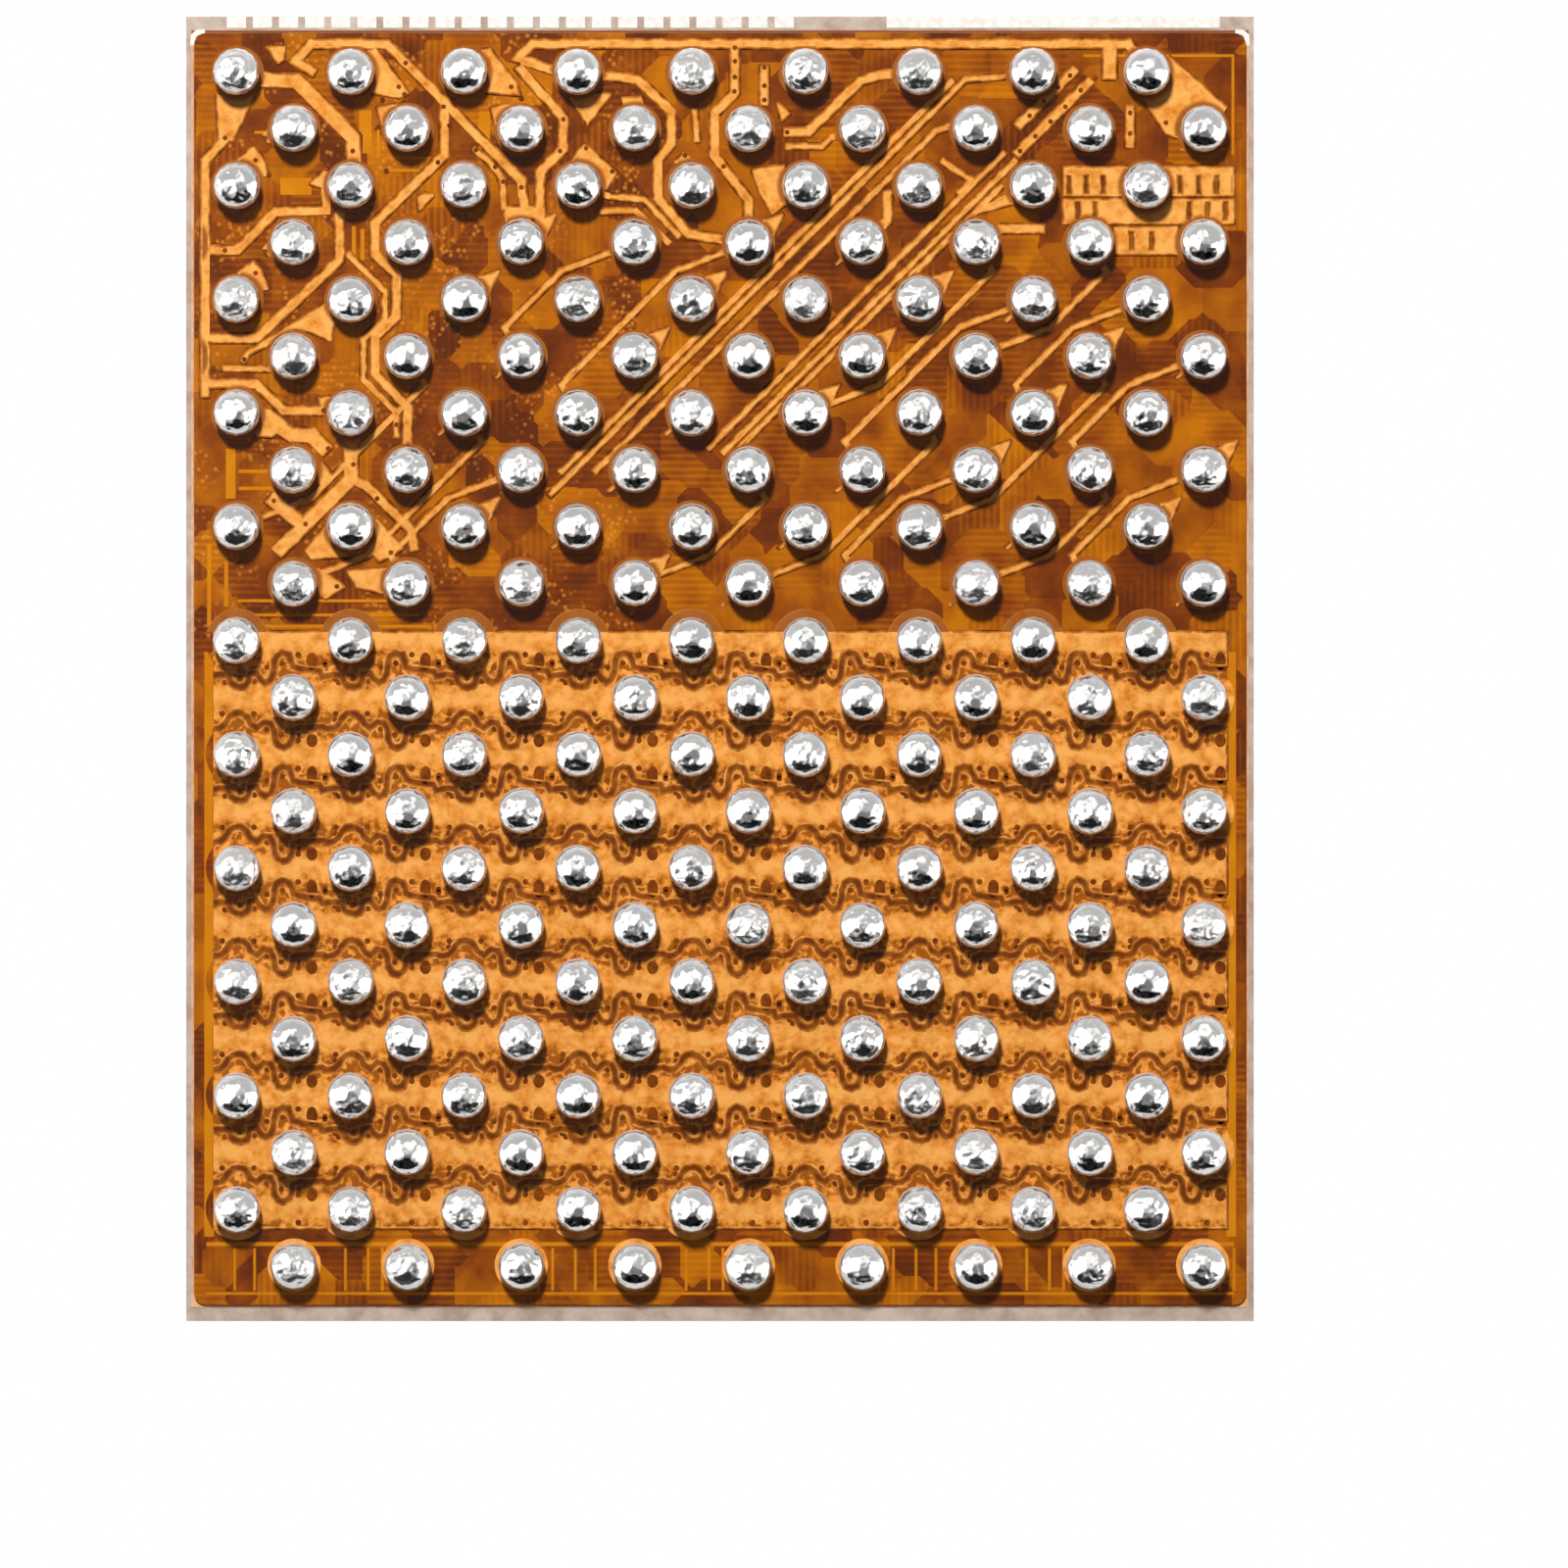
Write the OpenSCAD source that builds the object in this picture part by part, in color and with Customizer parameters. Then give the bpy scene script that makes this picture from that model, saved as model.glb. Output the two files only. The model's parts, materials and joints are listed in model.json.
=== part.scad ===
// Wafer-level ball grid array chip. A bare silicon die carries its wiring
// stack, two polyimide layers with copper redistribution traces between them,
// and a staggered grid of solder balls. Its back has a dark film.
// It lies on that film. X and Y are centred on the die, Z = 0 is the film's
// face, and every size is in millimetres.

/* [Die] */
// Width of the sawn die along X
die_w = 5.32; // [5.28:0.01:5.8]
// Length of the sawn die along Y
die_l = 6.50; // [6.46:0.01:7]
// Thickness of the ground silicon
silicon_t = 0.27; // [0.1:0.01:0.7]
// Thickness of the wiring stack grown on the silicon
wiring_t = 0.010; // [0.006:0.001:0.02]

/* [Back film] */
// Thickness of the dark film on the back of the silicon
film_t = 0.025; // [0.015:0.001:0.05]
// Diameter of the index dot marked in the film
index_d = 0.21; // [0.1:0.01:0.4]
// Depth of the index dot
index_depth = 0.004; // [0.002:0.001:0.01]
// Distance of the index dot's centre from both edges of its corner
index_inset = 0.33; // [0.25:0.01:0.6]

/* [Ball grid] */
// Distance between the centres of neighbouring balls, along the diagonal
pitch = 0.40; // [0.38:0.005:0.5]
// Height of a ball above its bump pad
ball_h = 0.185; // [0.16:0.005:0.21]
// Diameter of a bump pad, which is also the seat of its ball
bump_d = 0.20; // [0.175:0.005:0.21]
// Thickness of a bump pad
bump_t = 0.009; // [0.008:0.0005:0.02]
// Least room between an outer land and the edge of the polyimide
land_room = 0.045; // [0.03:0.005:0.05]

/* [Layers] */
// Thickness of the first polyimide
first_t = 0.0075; // [0.004:0.0005:0.015]
// Thickness of the redistribution copper
copper_t = 0.0075; // [0.004:0.0005:0.009]
// Thickness of the second polyimide over the copper
cover_t = 0.0075; // [0.004:0.0005:0.009]
// Height of the second polyimide between the traces
fill_t = 0.010; // [0.0095:0.0005:0.0125]
// How far the raised polyimide stands out past each copper edge
cover_side = 0.003; // [0.002:0.0005:0.004]

/* [Copper] */
// Width of the widest traces
wide_w = 0.066; // [0.05:0.002:0.07]
// Width of the common traces
trace_w = 0.040; // [0.034:0.002:0.046]
// Width of the fine traces
fine_w = 0.024; // [0.018:0.002:0.028]
// Diameter of the copper land under each bump pad
land_d = 0.26; // [0.25:0.005:0.28]
// Diameter of the rounded lobe of a supply band round each of its lands
lobe_d = 0.31; // [0.29:0.005:0.33]
// Width of the gap between two supply bands
band_gap = 0.030; // [0.024:0.002:0.036]
// Width of a slot in the copper field by the far corner
slot_w = 0.028; // [0.02:0.002:0.036]
// Length of such a slot
slot_l = 0.095; // [0.07:0.005:0.11]
// How much the etch takes off each corner of the copper
corner_cut = 0.004; // [0.002:0.001:0.006]
// Least room between the copper and the edge of the polyimide
copper_room = 0.025; // [0.02:0.005:0.03]
// From the edge of the polyimide to the centre line of the traces along it
rim_inset = 0.055; // [0.05:0.005:0.07]

/* [Edge] */
// Width of the bare saw street along the two long sides
street_side = 0.040; // [0.035:0.001:0.045]
// Width of the bare saw street along the two short ends
street_end = 0.082; // [0.078:0.001:0.09]
// Radius of the polyimide's rounded corners
field_corner = 0.060; // [0.04:0.005:0.09]
// Width of the metal seal ring round the polyimide
seal_w = 0.010; // [0.006:0.001:0.014]
// Thickness of the seal ring and of the test pads
metal_t = 0.003; // [0.002:0.0005:0.005]
// Room between the seal ring and the polyimide
seal_gap = 0.004; // [0.002:0.001:0.006]
// Number of small test pads in the saw street
test_pads = 22; // [10:1:22]
// Distance between the centres of the small test pads
test_pad_pitch = 0.130; // [0.12:0.002:0.132]
// Width of a small test pad
test_pad_w = 0.095; // [0.07:0.005:0.105]
// What the saw left of a test pad, measured in from the edge of the die
test_pad_l = 0.056; // [0.04:0.002:0.06]
// Length of the long test strip beside the small pads
test_strip_l = 1.66; // [1:0.02:1.7]

/* [Hidden] */
$fn = 48;

step = pitch / sqrt(2);                // one column or row of the grid
silicon_z = film_t;
wiring_z = silicon_z + silicon_t;
street_z = wiring_z + wiring_t;
copper_z = street_z + first_t;
bump_z = copper_z + copper_t;
ball_z = bump_z + bump_t;
ball_r = (ball_h * ball_h + bump_d * bump_d / 4) / (2 * ball_h);
field_w = die_w - 2 * street_side;     // the polyimide along X
field_l = die_l - 2 * street_end;      // the polyimide along Y
land_span = land_d + 2 * land_room;    // what the first land of a line takes up
columns = floor((field_w - land_span) / step) + 1;   // every second one is filled
rows = floor((field_l - land_span) / step) + 1;
index_z = -index_depth;                // the cut starts below the film's face
test_pads_inset = 0.25;                // from the die's side to the first small test pad
test_strip_end = 0.17;                 // from the long test strip to the die's side
test_run = die_w - test_pads_inset - test_strip_end - test_strip_l - test_pad_w;

// Every row of balls has its letters, in the way of such grids: none that can
// be taken for a figure.
LETTERS = "abcdefghjklmnprtuvwy";
function row_name(v) =
    str("solder_balls_row_", v < len(LETTERS) ? "" : "a", LETTERS[v % len(LETTERS)]);

signal_rows = [0 : 9];
supply_rows = [10 : rows - 2];
supply_top = 9.8;                      // limits of the supply bands, in grid places
supply_end = rows - 1.6;
supply_left = -0.42;
supply_right = columns - 0.58;

// Grid places: u counts columns to the right and v counts rows down from the
// index corner. A place with a ball has whole numbers with an even sum.
function place(p) = [(p[0] - (columns - 1) / 2) * step, ((rows - 1) / 2 - p[1]) * step];
function row_places(v) = [for (u = [v % 2 : 2 : columns - 1]) [u, v]];
rim_u = (columns - 1) / 2 - (field_w / 2 - rim_inset) / step;
rim_v = (rows - 1) / 2 - (field_l / 2 - rim_inset) / step;

// Outline of a strip of width w along a route p, with mitred bends.
function aside(a, b) = let (d = (b - a) / norm(b - a)) [-d[1], d[0]];
function mitre(p, i) =
    let (
        last = len(p) - 1,
        before = aside(p[max(i, 1) - 1], p[max(i, 1)]),
        after = aside(p[min(i, last - 1)], p[min(i, last - 1) + 1])
    )
    (before + after) / (1 + before * after);
function strip_outline(p, w) = concat(
    [for (i = [0 : len(p) - 1]) p[i] + mitre(p, i) * w / 2],
    [for (i = [len(p) - 1 : -1 : 0]) p[i] - mitre(p, i) * w / 2]
);

// Routes of the traces, in grid places.
wide_routes = [
    [[0, 0.1], [1.05, 0.15], [2.05, 1.15], [2.05, 2]],
    [[0, 6], [0.55, 6.1], [0.95, 6.38], [1.3, 6.38], [1.58, 6.66]],
    [[2, 6], [2, 7.15], [0.7, 8.45]],
    [[0.58, 7.48], [1.2, 8.02]],
    [[15.36, rim_v], [15.36, 0.1]]
];
trace_routes = [
    [[-0.15, 1.1], [rim_u, 1.55], [rim_u, 5.7]],
    [[1.35, 0], [1.02, -0.2], [1.3, rim_v], [2.64, rim_v], [5, 1.9], [5.05, 2.36]],
    [[3.65, 0.6], [3.65, 1.45], [2.42, 2.65], [2.42, 3.2], [2.8, 3.55], [2.8, 4.3], [2.42, 4.65],
        [2.42, 5.3], [3, 5.9], [3, 7]],
    [[2, 2], [1.56, 2.1], [1.56, 2.42], [0.68, 2.45], [0, 3.13], [rim_u, 3.13]],
    [[2, 2], [1.8, 2.5], [1.8, 3.3], [0.9, 4.16], [0.33, 4.68], [rim_u, 4.68]],
    [[rim_u, 5.48], [0.33, 5.48], [0.82, 5.95], [2, 5.95]],
    [[6, 0.1], [4.95, -0.25], [5.2, rim_v], [15.7, rim_v], [15.9, -0.2], [16, 0]],
    [[4.95, -0.1], [5.74, 0.8], [5.74, 1.35], [5.33, 1.75], [5.33, 2.35], [5, 3]],
    [[6, 0], [6.75, 0.08], [7.05, 0.12], [7.64, 0.68], [7.64, 1.25], [7.4, 1.54], [7.4, 2.2],
        [7.95, 2.85], [9, 3]],
    [[8.76, rim_v], [8.76, 0.36], [8.4, 0.72], [8.4, 1.46], [9, 2.24], [9, 3]],
    [[9.28, -0.1], [9.28, 0.55]],
    [[12, 0], [11.4, 0.03], [10.98, 0.14], [10.05, 1.05], [9.64, 1.05]],
    [[14.75, -0.05], [13.75, 0.95]],
    [[15.02, 0.14], [13.73, 1.43]],
    [[15.72, 0.6], [15.72, 1.3]],
    [[2, 7.15], [2.28, 7.28], [3.05, 8.05], [3.12, 8.4]],
    [[11, 3], [11.45, 2.6], [11.45, 2.1]],
    [[13, 3], [13.45, 2.75], [14.2, 2.75]]
];
fine_routes = [
    [[2, 4], [1.6, 4.08], [0.45, 4.8], [0.19, 4.93], [0.1, 5.08]],
    [[-0.24, 5.2], [0.55, 5.22], [1, 5.1]],
    [[1.96, 3.2], [2.6, 3.85], [2.6, 4.35], [2.22, 4.7], [2.22, 5.4], [2.8, 5.98], [2.8, 6.4]],
    [[4.16, 1.34], [4.45, 1.58], [4.67, 1.87], [4.7, 2.4]],
    [[6, 2], [6.56, 2.18], [7.17, 2.24], [7.78, 2.88]],
    [[6.4, 2.45], [7, 2.42], [7.6, 3]],
    [[8.05, 0.66], [8.1, 1.2]],
    [[11, 1], [10.45, 1.15], [10.3, 1.3], [9.68, 1.3]],
    [[14, 0], [13.35, 0.08], [12.82, 0.12], [5.5, 7.44]],
    [[12.6, 0.14], [5.7, 7.04]],
    [[13, 1], [12.6, 0.93], [12.3, 1.03], [6.3, 7.03]],
    [[12.42, 1.56], [12.93, 1.9], [12.7, 2.13]],
    [[13.5, 1.42], [8.3, 6.62]],
    [[13.7, 1.55], [8.55, 6.7]],
    [[13.45, 2], [8.8, 6.65]]
];
// Fan-out links between two balls on one rising diagonal, through the channel
// beside it: [sum of the diagonal's u and v, side of it, first row, last row].
links = [
    [8, 1, 5, 8], [10, -1, 3, 5], [10, 1, 6, 9], [12, -1, 3, 6], [12, -1, 7, 9],
    [16, 1, 3, 6], [16, 1, 7, 9], [18, -1, 4, 7], [18, 1, 3, 5], [18, 1, 6, 9], [20, -1, 4, 6],
    [20, 1, 5, 8], [22, -1, 5, 7], [22, 1, 7, 9], [24, -1, 7, 9], [20, -1, 7, 9]
];
function link_route(k) = let (lane = k[0] + 0.8 * k[1]) [
    [k[0] - k[2], k[2]],
    [lane - k[2] - 0.5, k[2] + 0.5],
    [lane - k[3] + 0.5, k[3] - 0.5],
    [k[0] - k[3], k[3]]
];
// Small solid areas of copper, in grid places.
pours = [
    [[-0.37, 0.4], [0.3, 0.4], [-0.08, 1.2], [-0.33, 1.15]],
    [[0.51, -0.46], [0.84, -0.46], [0.82, -0.22], [0.72, -0.16]],
    [[2.3, -0.4], [2.45, -0.42], [3.02, 0.36], [2.85, 0.44], [2.35, 0.35]],
    [[4.3, -0.4], [4.45, -0.42], [4.92, 0.2], [4.98, 0.4], [4.35, 0.35]],
    [[2.46, 0.62], [2.8, 0.56], [3, 0.7], [2.6, 1.1]],
    [[4.46, 0.62], [4.8, 0.56], [5, 0.7], [4.6, 1.1]],
    [[-0.12, 1.64], [0.28, 1.32], [0.42, 1.46], [0.55, 1.8], [0.2, 1.9]],
    [[-0.12, 3.64], [0.28, 3.32], [0.42, 3.46], [0.55, 3.8], [0.2, 3.9]],
    [[0.45, 1.1], [0.62, 0.9], [0.8, 1.1], [0.55, 1.24]],
    [[0.45, 3.1], [0.62, 2.9], [0.8, 3.1], [0.55, 3.24]],
    [[1.28, 1.96], [1.52, 1.74], [1.8, 1.8], [1.75, 2.1]],
    [[3.18, 2.2], [3.3, 2.12], [3.46, 2.16], [3.2, 2.44]],
    [[4.7, 2.36], [5.42, 2.36], [5.4, 2.8], [4.75, 2.8]],
    [[1, 4.5], [1.5, 4.1], [1.75, 4.2], [1.64, 4.72], [1.25, 4.55]],
    [[5.85, 0.42], [6.6, 0.36], [6.16, 0.93]],
    [[6.11, 1.26], [6.68, 1.75], [6.5, 2.05], [5.85, 1.6]],
    [[6.78, 0.46], [7.1, 0.42], [7.2, 0.7], [6.85, 0.75]],
    [[7.7, 1.58], [7.86, 1.42], [8.12, 1.6], [8, 1.8]],
    [[9.5, 0.52], [9.74, 0.72], [9.58, 0.86]],
    [[9.06, 1.72], [9.62, 1.62], [9.68, 2.3], [9.42, 2.5], [9.2, 2.1]],
    [[13.5, 2.16], [13.1, 2.38], [12.95, 2.5], [13.7, 2.3]],
    [[15.9, 0.35], [16.39, -0.3], [17.42, 0.6], [17, 1.3], [16.35, 1.08], [16.1, 0.7]],
    [[1.42, 5.72], [1.75, 5.72], [1.62, 6.3]],
    [[0.3, 5.9], [0.6, 5.95], [0.9, 6.2], [0.6, 6.42], [0.35, 6.4]],
    [[1.5, 6.86], [1.7, 7.12], [1.54, 7.32], [1.3, 7.1]],
    [[1.2, 8.42], [1.62, 7.9], [1.95, 8.52], [1.3, 8.56]],
    [[2.45, 7.86], [2.92, 8.38], [2.5, 8.62], [2.2, 8.2]],
    [[1.4, 8.72], [1.9, 9.05], [1.56, 9.26], [1.2, 9.05]],
    [[1.94, 8.78], [2.7, 8.72], [2.7, 9.2], [2.1, 9.06]]
];
// The slotted copper field by the far corner: each row holds the left and right
// end, the top and bottom, and the places of its slots.
far_fields = [
    [14.55, 17.55, 1.66, 2.17, 1.97, [14.65, 14.95, 15.25, 16.6, 16.92, 17.24]],
    [14.55, 17.55, 2.23, 2.66, 2.43, [14.8, 15.1, 16.76, 17.08, 17.4]],
    [15.45, 16.55, 2.72, 3.2, 2.96, [15.75, 16.1]]
];
// Teardrops that join some of the lands to vias beside them: [u, v, side].
teardrops = [
    for (v = [3 : 9], u = [4 + v % 2 : 2 : columns - 1])
        if ((u + 2 * v) % 5 < 3 && !(u > 13 && v < 4)) [u, v, (u + v) % 4 == 0 ? 1 : -1]
];
function teardrop(t) = [
    [t[0] - 0.3, t[1] - 0.2 * t[2]], [t[0] + 0.3, t[1] + 0.2 * t[2]],
    [t[0] + 0.62 * t[2], t[1] - 0.52 * t[2]]
];

module patch(corners) polygon([for (p = corners) place(p)]);
module strip(route, w) polygon(strip_outline([for (p = route) place(p)], w - 2 * corner_cut));
module lands(v, d) for (p = row_places(v)) translate(place(p)) circle(d = d);

// One row of the slotted field, with its slots.
module slotted_field(f) difference() {
    offset(delta = -corner_cut)
        patch([[f[0], f[2]], [f[1], f[2]], [f[1], f[3]], [f[0], f[3]]]);
    for (u = f[5]) translate(place([u, f[4]]))
        square([slot_w + 2 * corner_cut, slot_l + 2 * corner_cut], center = true);
}

// Plan of the signal copper, grown by a margin on every side.
module signal_plan(grow) {
    inset = copper_room + corner_cut;
    offset(delta = grow + corner_cut, chamfer = true) intersection() {
        union() {
            for (r = wide_routes) strip(r, wide_w);
            for (r = trace_routes) strip(r, trace_w);
            for (r = fine_routes) strip(r, fine_w);
            for (k = links) strip(link_route(k), fine_w);
            for (corners = pours) offset(delta = -corner_cut) patch(corners);
            for (t = teardrops) offset(delta = -corner_cut) patch(teardrop(t));
            for (f = far_fields) slotted_field(f);
        }
        field_outline(field_w / 2 - inset, field_l / 2 - inset, field_corner);
    }
    for (v = signal_rows) lands(v, land_d + 2 * grow);
    lands(rows - 1, land_d + 2 * grow);
}

// Plan of the supply band that joins the lands of row v. Round lobes widen it
// at its own lands, and it steps back round the lands of the rows beside it.
module band_plan(v, grow) {
    top = place([supply_left, max(v - 0.5, supply_top)]);
    bottom = place([supply_right, min(v + 0.5, supply_end)]);
    edge = band_gap / 2 - grow;
    difference() {
        union() {
            translate([top[0] - grow, bottom[1] + edge])
                square([bottom[0] - top[0] + 2 * grow, top[1] - bottom[1] - 2 * edge]);
            lands(v, lobe_d + 2 * grow);
        }
        lands(v - 1, lobe_d + 2 * band_gap - 2 * grow);
        lands(v + 1, lobe_d + 2 * band_gap - 2 * grow);
    }
}

module field_outline(x, y, corner)
    offset(r = corner) square([2 * (x - corner), 2 * (y - corner)], center = true);

module backside_film() color("#14161f") difference() {
    translate([-die_w / 2, -die_l / 2, 0]) cube([die_w, die_l, film_t]);
    translate([index_inset - die_w / 2, die_l / 2 - index_inset, index_z])
        cylinder(d = index_d, h = 2 * index_depth);
}

module silicon_die() color("#8d8a88")
    translate([-die_w / 2, -die_l / 2, silicon_z]) cube([die_w, die_l, silicon_t]);

module wiring_stack() color("#a08f88")
    translate([-die_w / 2, -die_l / 2, wiring_z]) cube([die_w, die_l, wiring_t]);

module seal_ring() color("#e0d2c6") translate([0, 0, street_z]) linear_extrude(metal_t)
    difference() {
        x = field_w / 2 + seal_gap;
        y = field_l / 2 + seal_gap;
        square([2 * (x + seal_w), 2 * (y + seal_w)], center = true);
        field_outline(x, y, field_corner);
    }

module street_test_pads() color("#efe9e2") translate([0, die_l / 2 - test_pad_l, street_z]) {
    for (i = [0 : test_pads - 1]) if (i * test_pad_pitch < test_run)
        translate([test_pads_inset - die_w / 2 + i * test_pad_pitch - test_pad_w / 2, 0, 0])
            cube([test_pad_w, test_pad_l, metal_t]);
    translate([die_w / 2 - test_strip_end - test_strip_l, 0, 0])
        cube([test_strip_l, test_pad_l, metal_t]);
}

module first_polyimide() color("#9c5a10") translate([0, 0, street_z])
    linear_extrude(first_t) field_outline(field_w / 2, field_l / 2, field_corner);

module signal_copper() color("#d98a3d") translate([0, 0, copper_z])
    linear_extrude(copper_t) signal_plan(0);

module supply_copper() color("#d98a3d") translate([0, 0, copper_z])
    for (v = supply_rows) linear_extrude(copper_t) band_plan(v, 0);

module second_polyimide() color("#b4680f") translate([0, 0, copper_z]) difference() {
    union() {
        linear_extrude(fill_t) field_outline(field_w / 2, field_l / 2, field_corner);
        linear_extrude(copper_t + cover_t) signal_plan(cover_side);
        for (v = supply_rows) linear_extrude(copper_t + cover_t) band_plan(v, cover_side);
    }
    linear_extrude(copper_t) signal_plan(0);
    for (v = supply_rows) linear_extrude(copper_t) band_plan(v, 0);
    linear_extrude(copper_t + cover_t + fill_t) for (v = [0 : rows - 1]) lands(v, bump_d);
}

module bump_pads() color("#c98a55") translate([0, 0, bump_z])
    for (v = [0 : rows - 1], p = row_places(v)) translate(place(p)) cylinder(d = bump_d, h = bump_t);

// A ball is a sphere that its bump pad cuts off flat.
module solder_ball() intersection() {
    translate([0, 0, ball_h - ball_r]) sphere(r = ball_r);
    translate([-ball_r, -ball_r, 0]) cube([2 * ball_r, 2 * ball_r, 2 * ball_h]);
}

module solder_balls(v) color("#d5d7da")
    for (p = row_places(v)) translate([place(p)[0], place(p)[1], ball_z]) solder_ball();

backside_film();
silicon_die();
wiring_stack();
seal_ring();
street_test_pads();
first_polyimide();
signal_copper();
supply_copper();
second_polyimide();
bump_pads();
for (v = [0 : rows - 1]) solder_balls(v);
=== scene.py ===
"""Looks of a wafer-level ball grid array chip, ball side up, round its solid model.

Everything is in metres and in the solid model's own frame: the die is centred on X and Y,
the dark back film lies on Z = 0 and the solder balls point along +Z.
"""
import json
import logging
import math
from dataclasses import dataclass
from enum import Enum
from typing import Any, Sequence

import bpy
import numpy as np
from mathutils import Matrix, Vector


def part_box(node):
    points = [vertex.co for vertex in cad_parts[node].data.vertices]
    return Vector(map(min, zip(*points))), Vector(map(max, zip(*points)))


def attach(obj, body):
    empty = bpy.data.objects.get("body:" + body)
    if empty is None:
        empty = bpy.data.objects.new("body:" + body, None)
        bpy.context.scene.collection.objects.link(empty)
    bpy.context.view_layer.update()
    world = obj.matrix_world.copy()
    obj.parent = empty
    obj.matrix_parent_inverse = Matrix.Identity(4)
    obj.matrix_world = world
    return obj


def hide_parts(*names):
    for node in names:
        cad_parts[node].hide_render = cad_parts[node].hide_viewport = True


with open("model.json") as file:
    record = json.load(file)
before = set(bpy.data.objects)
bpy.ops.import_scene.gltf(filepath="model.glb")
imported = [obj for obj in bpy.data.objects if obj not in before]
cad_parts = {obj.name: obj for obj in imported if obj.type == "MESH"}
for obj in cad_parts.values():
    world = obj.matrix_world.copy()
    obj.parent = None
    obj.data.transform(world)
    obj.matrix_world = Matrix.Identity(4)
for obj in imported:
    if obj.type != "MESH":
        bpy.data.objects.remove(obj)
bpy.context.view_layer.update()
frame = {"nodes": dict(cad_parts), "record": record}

LOG = logging.getLogger("chip")
MM = 1e-3
UM = 1e-6
BODY = "root"
SEED = 11


def linear(code: str) -> tuple[float, float, float, float]:
    """Turn an sRGB hex colour to linear light.

    Args:
        code: the colour as "#rrggbb".

    Returns:
        Red, green and blue in linear light, and an alpha of 1.
    """
    parts = (int(code[i:i + 2], 16) / 255 for i in (1, 3, 5))
    red, green, blue = (c / 12.92 if c <= 0.04045 else ((c + 0.055) / 1.055) ** 2.4 for c in parts)
    return red, green, blue, 1.0


def add_node(tree: bpy.types.NodeTree, kind: str, inputs: dict[str | int, Any] | None = None,
             stops: Sequence[tuple[float, str]] = (), **settings: Any) -> bpy.types.Node:
    """Add a shader node with its settings and links.

    Args:
        tree: the node tree it goes into.
        kind: the node's type name, without its ShaderNode prefix.
        inputs: what each input takes, by its name or number: a constant, or a socket to link.
        stops: places and hex colours of a colour ramp's stops.
        settings: the node's own properties.

    Returns:
        The new node.
    """
    node = tree.nodes.new(f"ShaderNode{kind}")
    for key, value in settings.items():
        setattr(node, key, value)
    for key, value in (inputs or {}).items():
        if isinstance(value, bpy.types.NodeSocket):
            tree.links.new(value, node.inputs[key])
        else:
            node.inputs[key].default_value = value
    for i, (place, code) in enumerate(stops):
        stop = node.color_ramp.elements[i] if i < 2 else node.color_ramp.elements.new(place)
        stop.position = place
        stop.color = linear(code)
    return node


# ---------------------------------------------------------------- finishes


@dataclass(frozen=True)
class Finish:
    """A surface finish: a Principled shader, whose pattern a subclass draws.

    The constants that hold all over the surface are set on the shader's own sockets.
    """

    name: str
    base: str
    roughness: float
    metallic: float = 0.0
    ior: float = 1.5
    gloss: float = 0.5

    def material(self) -> bpy.types.Material:
        """Build the material.

        Returns:
            The new material, with its constants set and its pattern drawn.
        """
        made = bpy.data.materials.new(self.name)
        made.use_nodes = True
        tree = made.node_tree
        shader = tree.nodes["Principled BSDF"]
        shader.inputs["Base Color"].default_value = linear(self.base)
        shader.inputs["Roughness"].default_value = self.roughness
        shader.inputs["Metallic"].default_value = self.metallic
        shader.inputs["IOR"].default_value = self.ior
        shader.inputs["Specular IOR Level"].default_value = self.gloss
        made.diffuse_color = linear(self.base)
        self.shade(tree, shader)
        return made

    def shade(self, tree: bpy.types.NodeTree, shader: bpy.types.Node) -> None:
        """Draw the finish's own pattern; a plain finish has none."""

    def millimetres(self, tree: bpy.types.NodeTree,
                    scale: tuple[float, float, float] = (1, 1, 1)) -> bpy.types.NodeSocket:
        """Object coordinates in millimetres.

        Args:
            tree: the material's node tree.
            scale: how much finer the pattern gets along each axis.

        Returns:
            The socket that gives the coordinates.
        """
        place = add_node(tree, "TexCoord").outputs["Object"]
        size = tuple(s / MM for s in scale)
        return add_node(tree, "Mapping", {"Vector": place, "Scale": size}).outputs[0]


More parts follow.
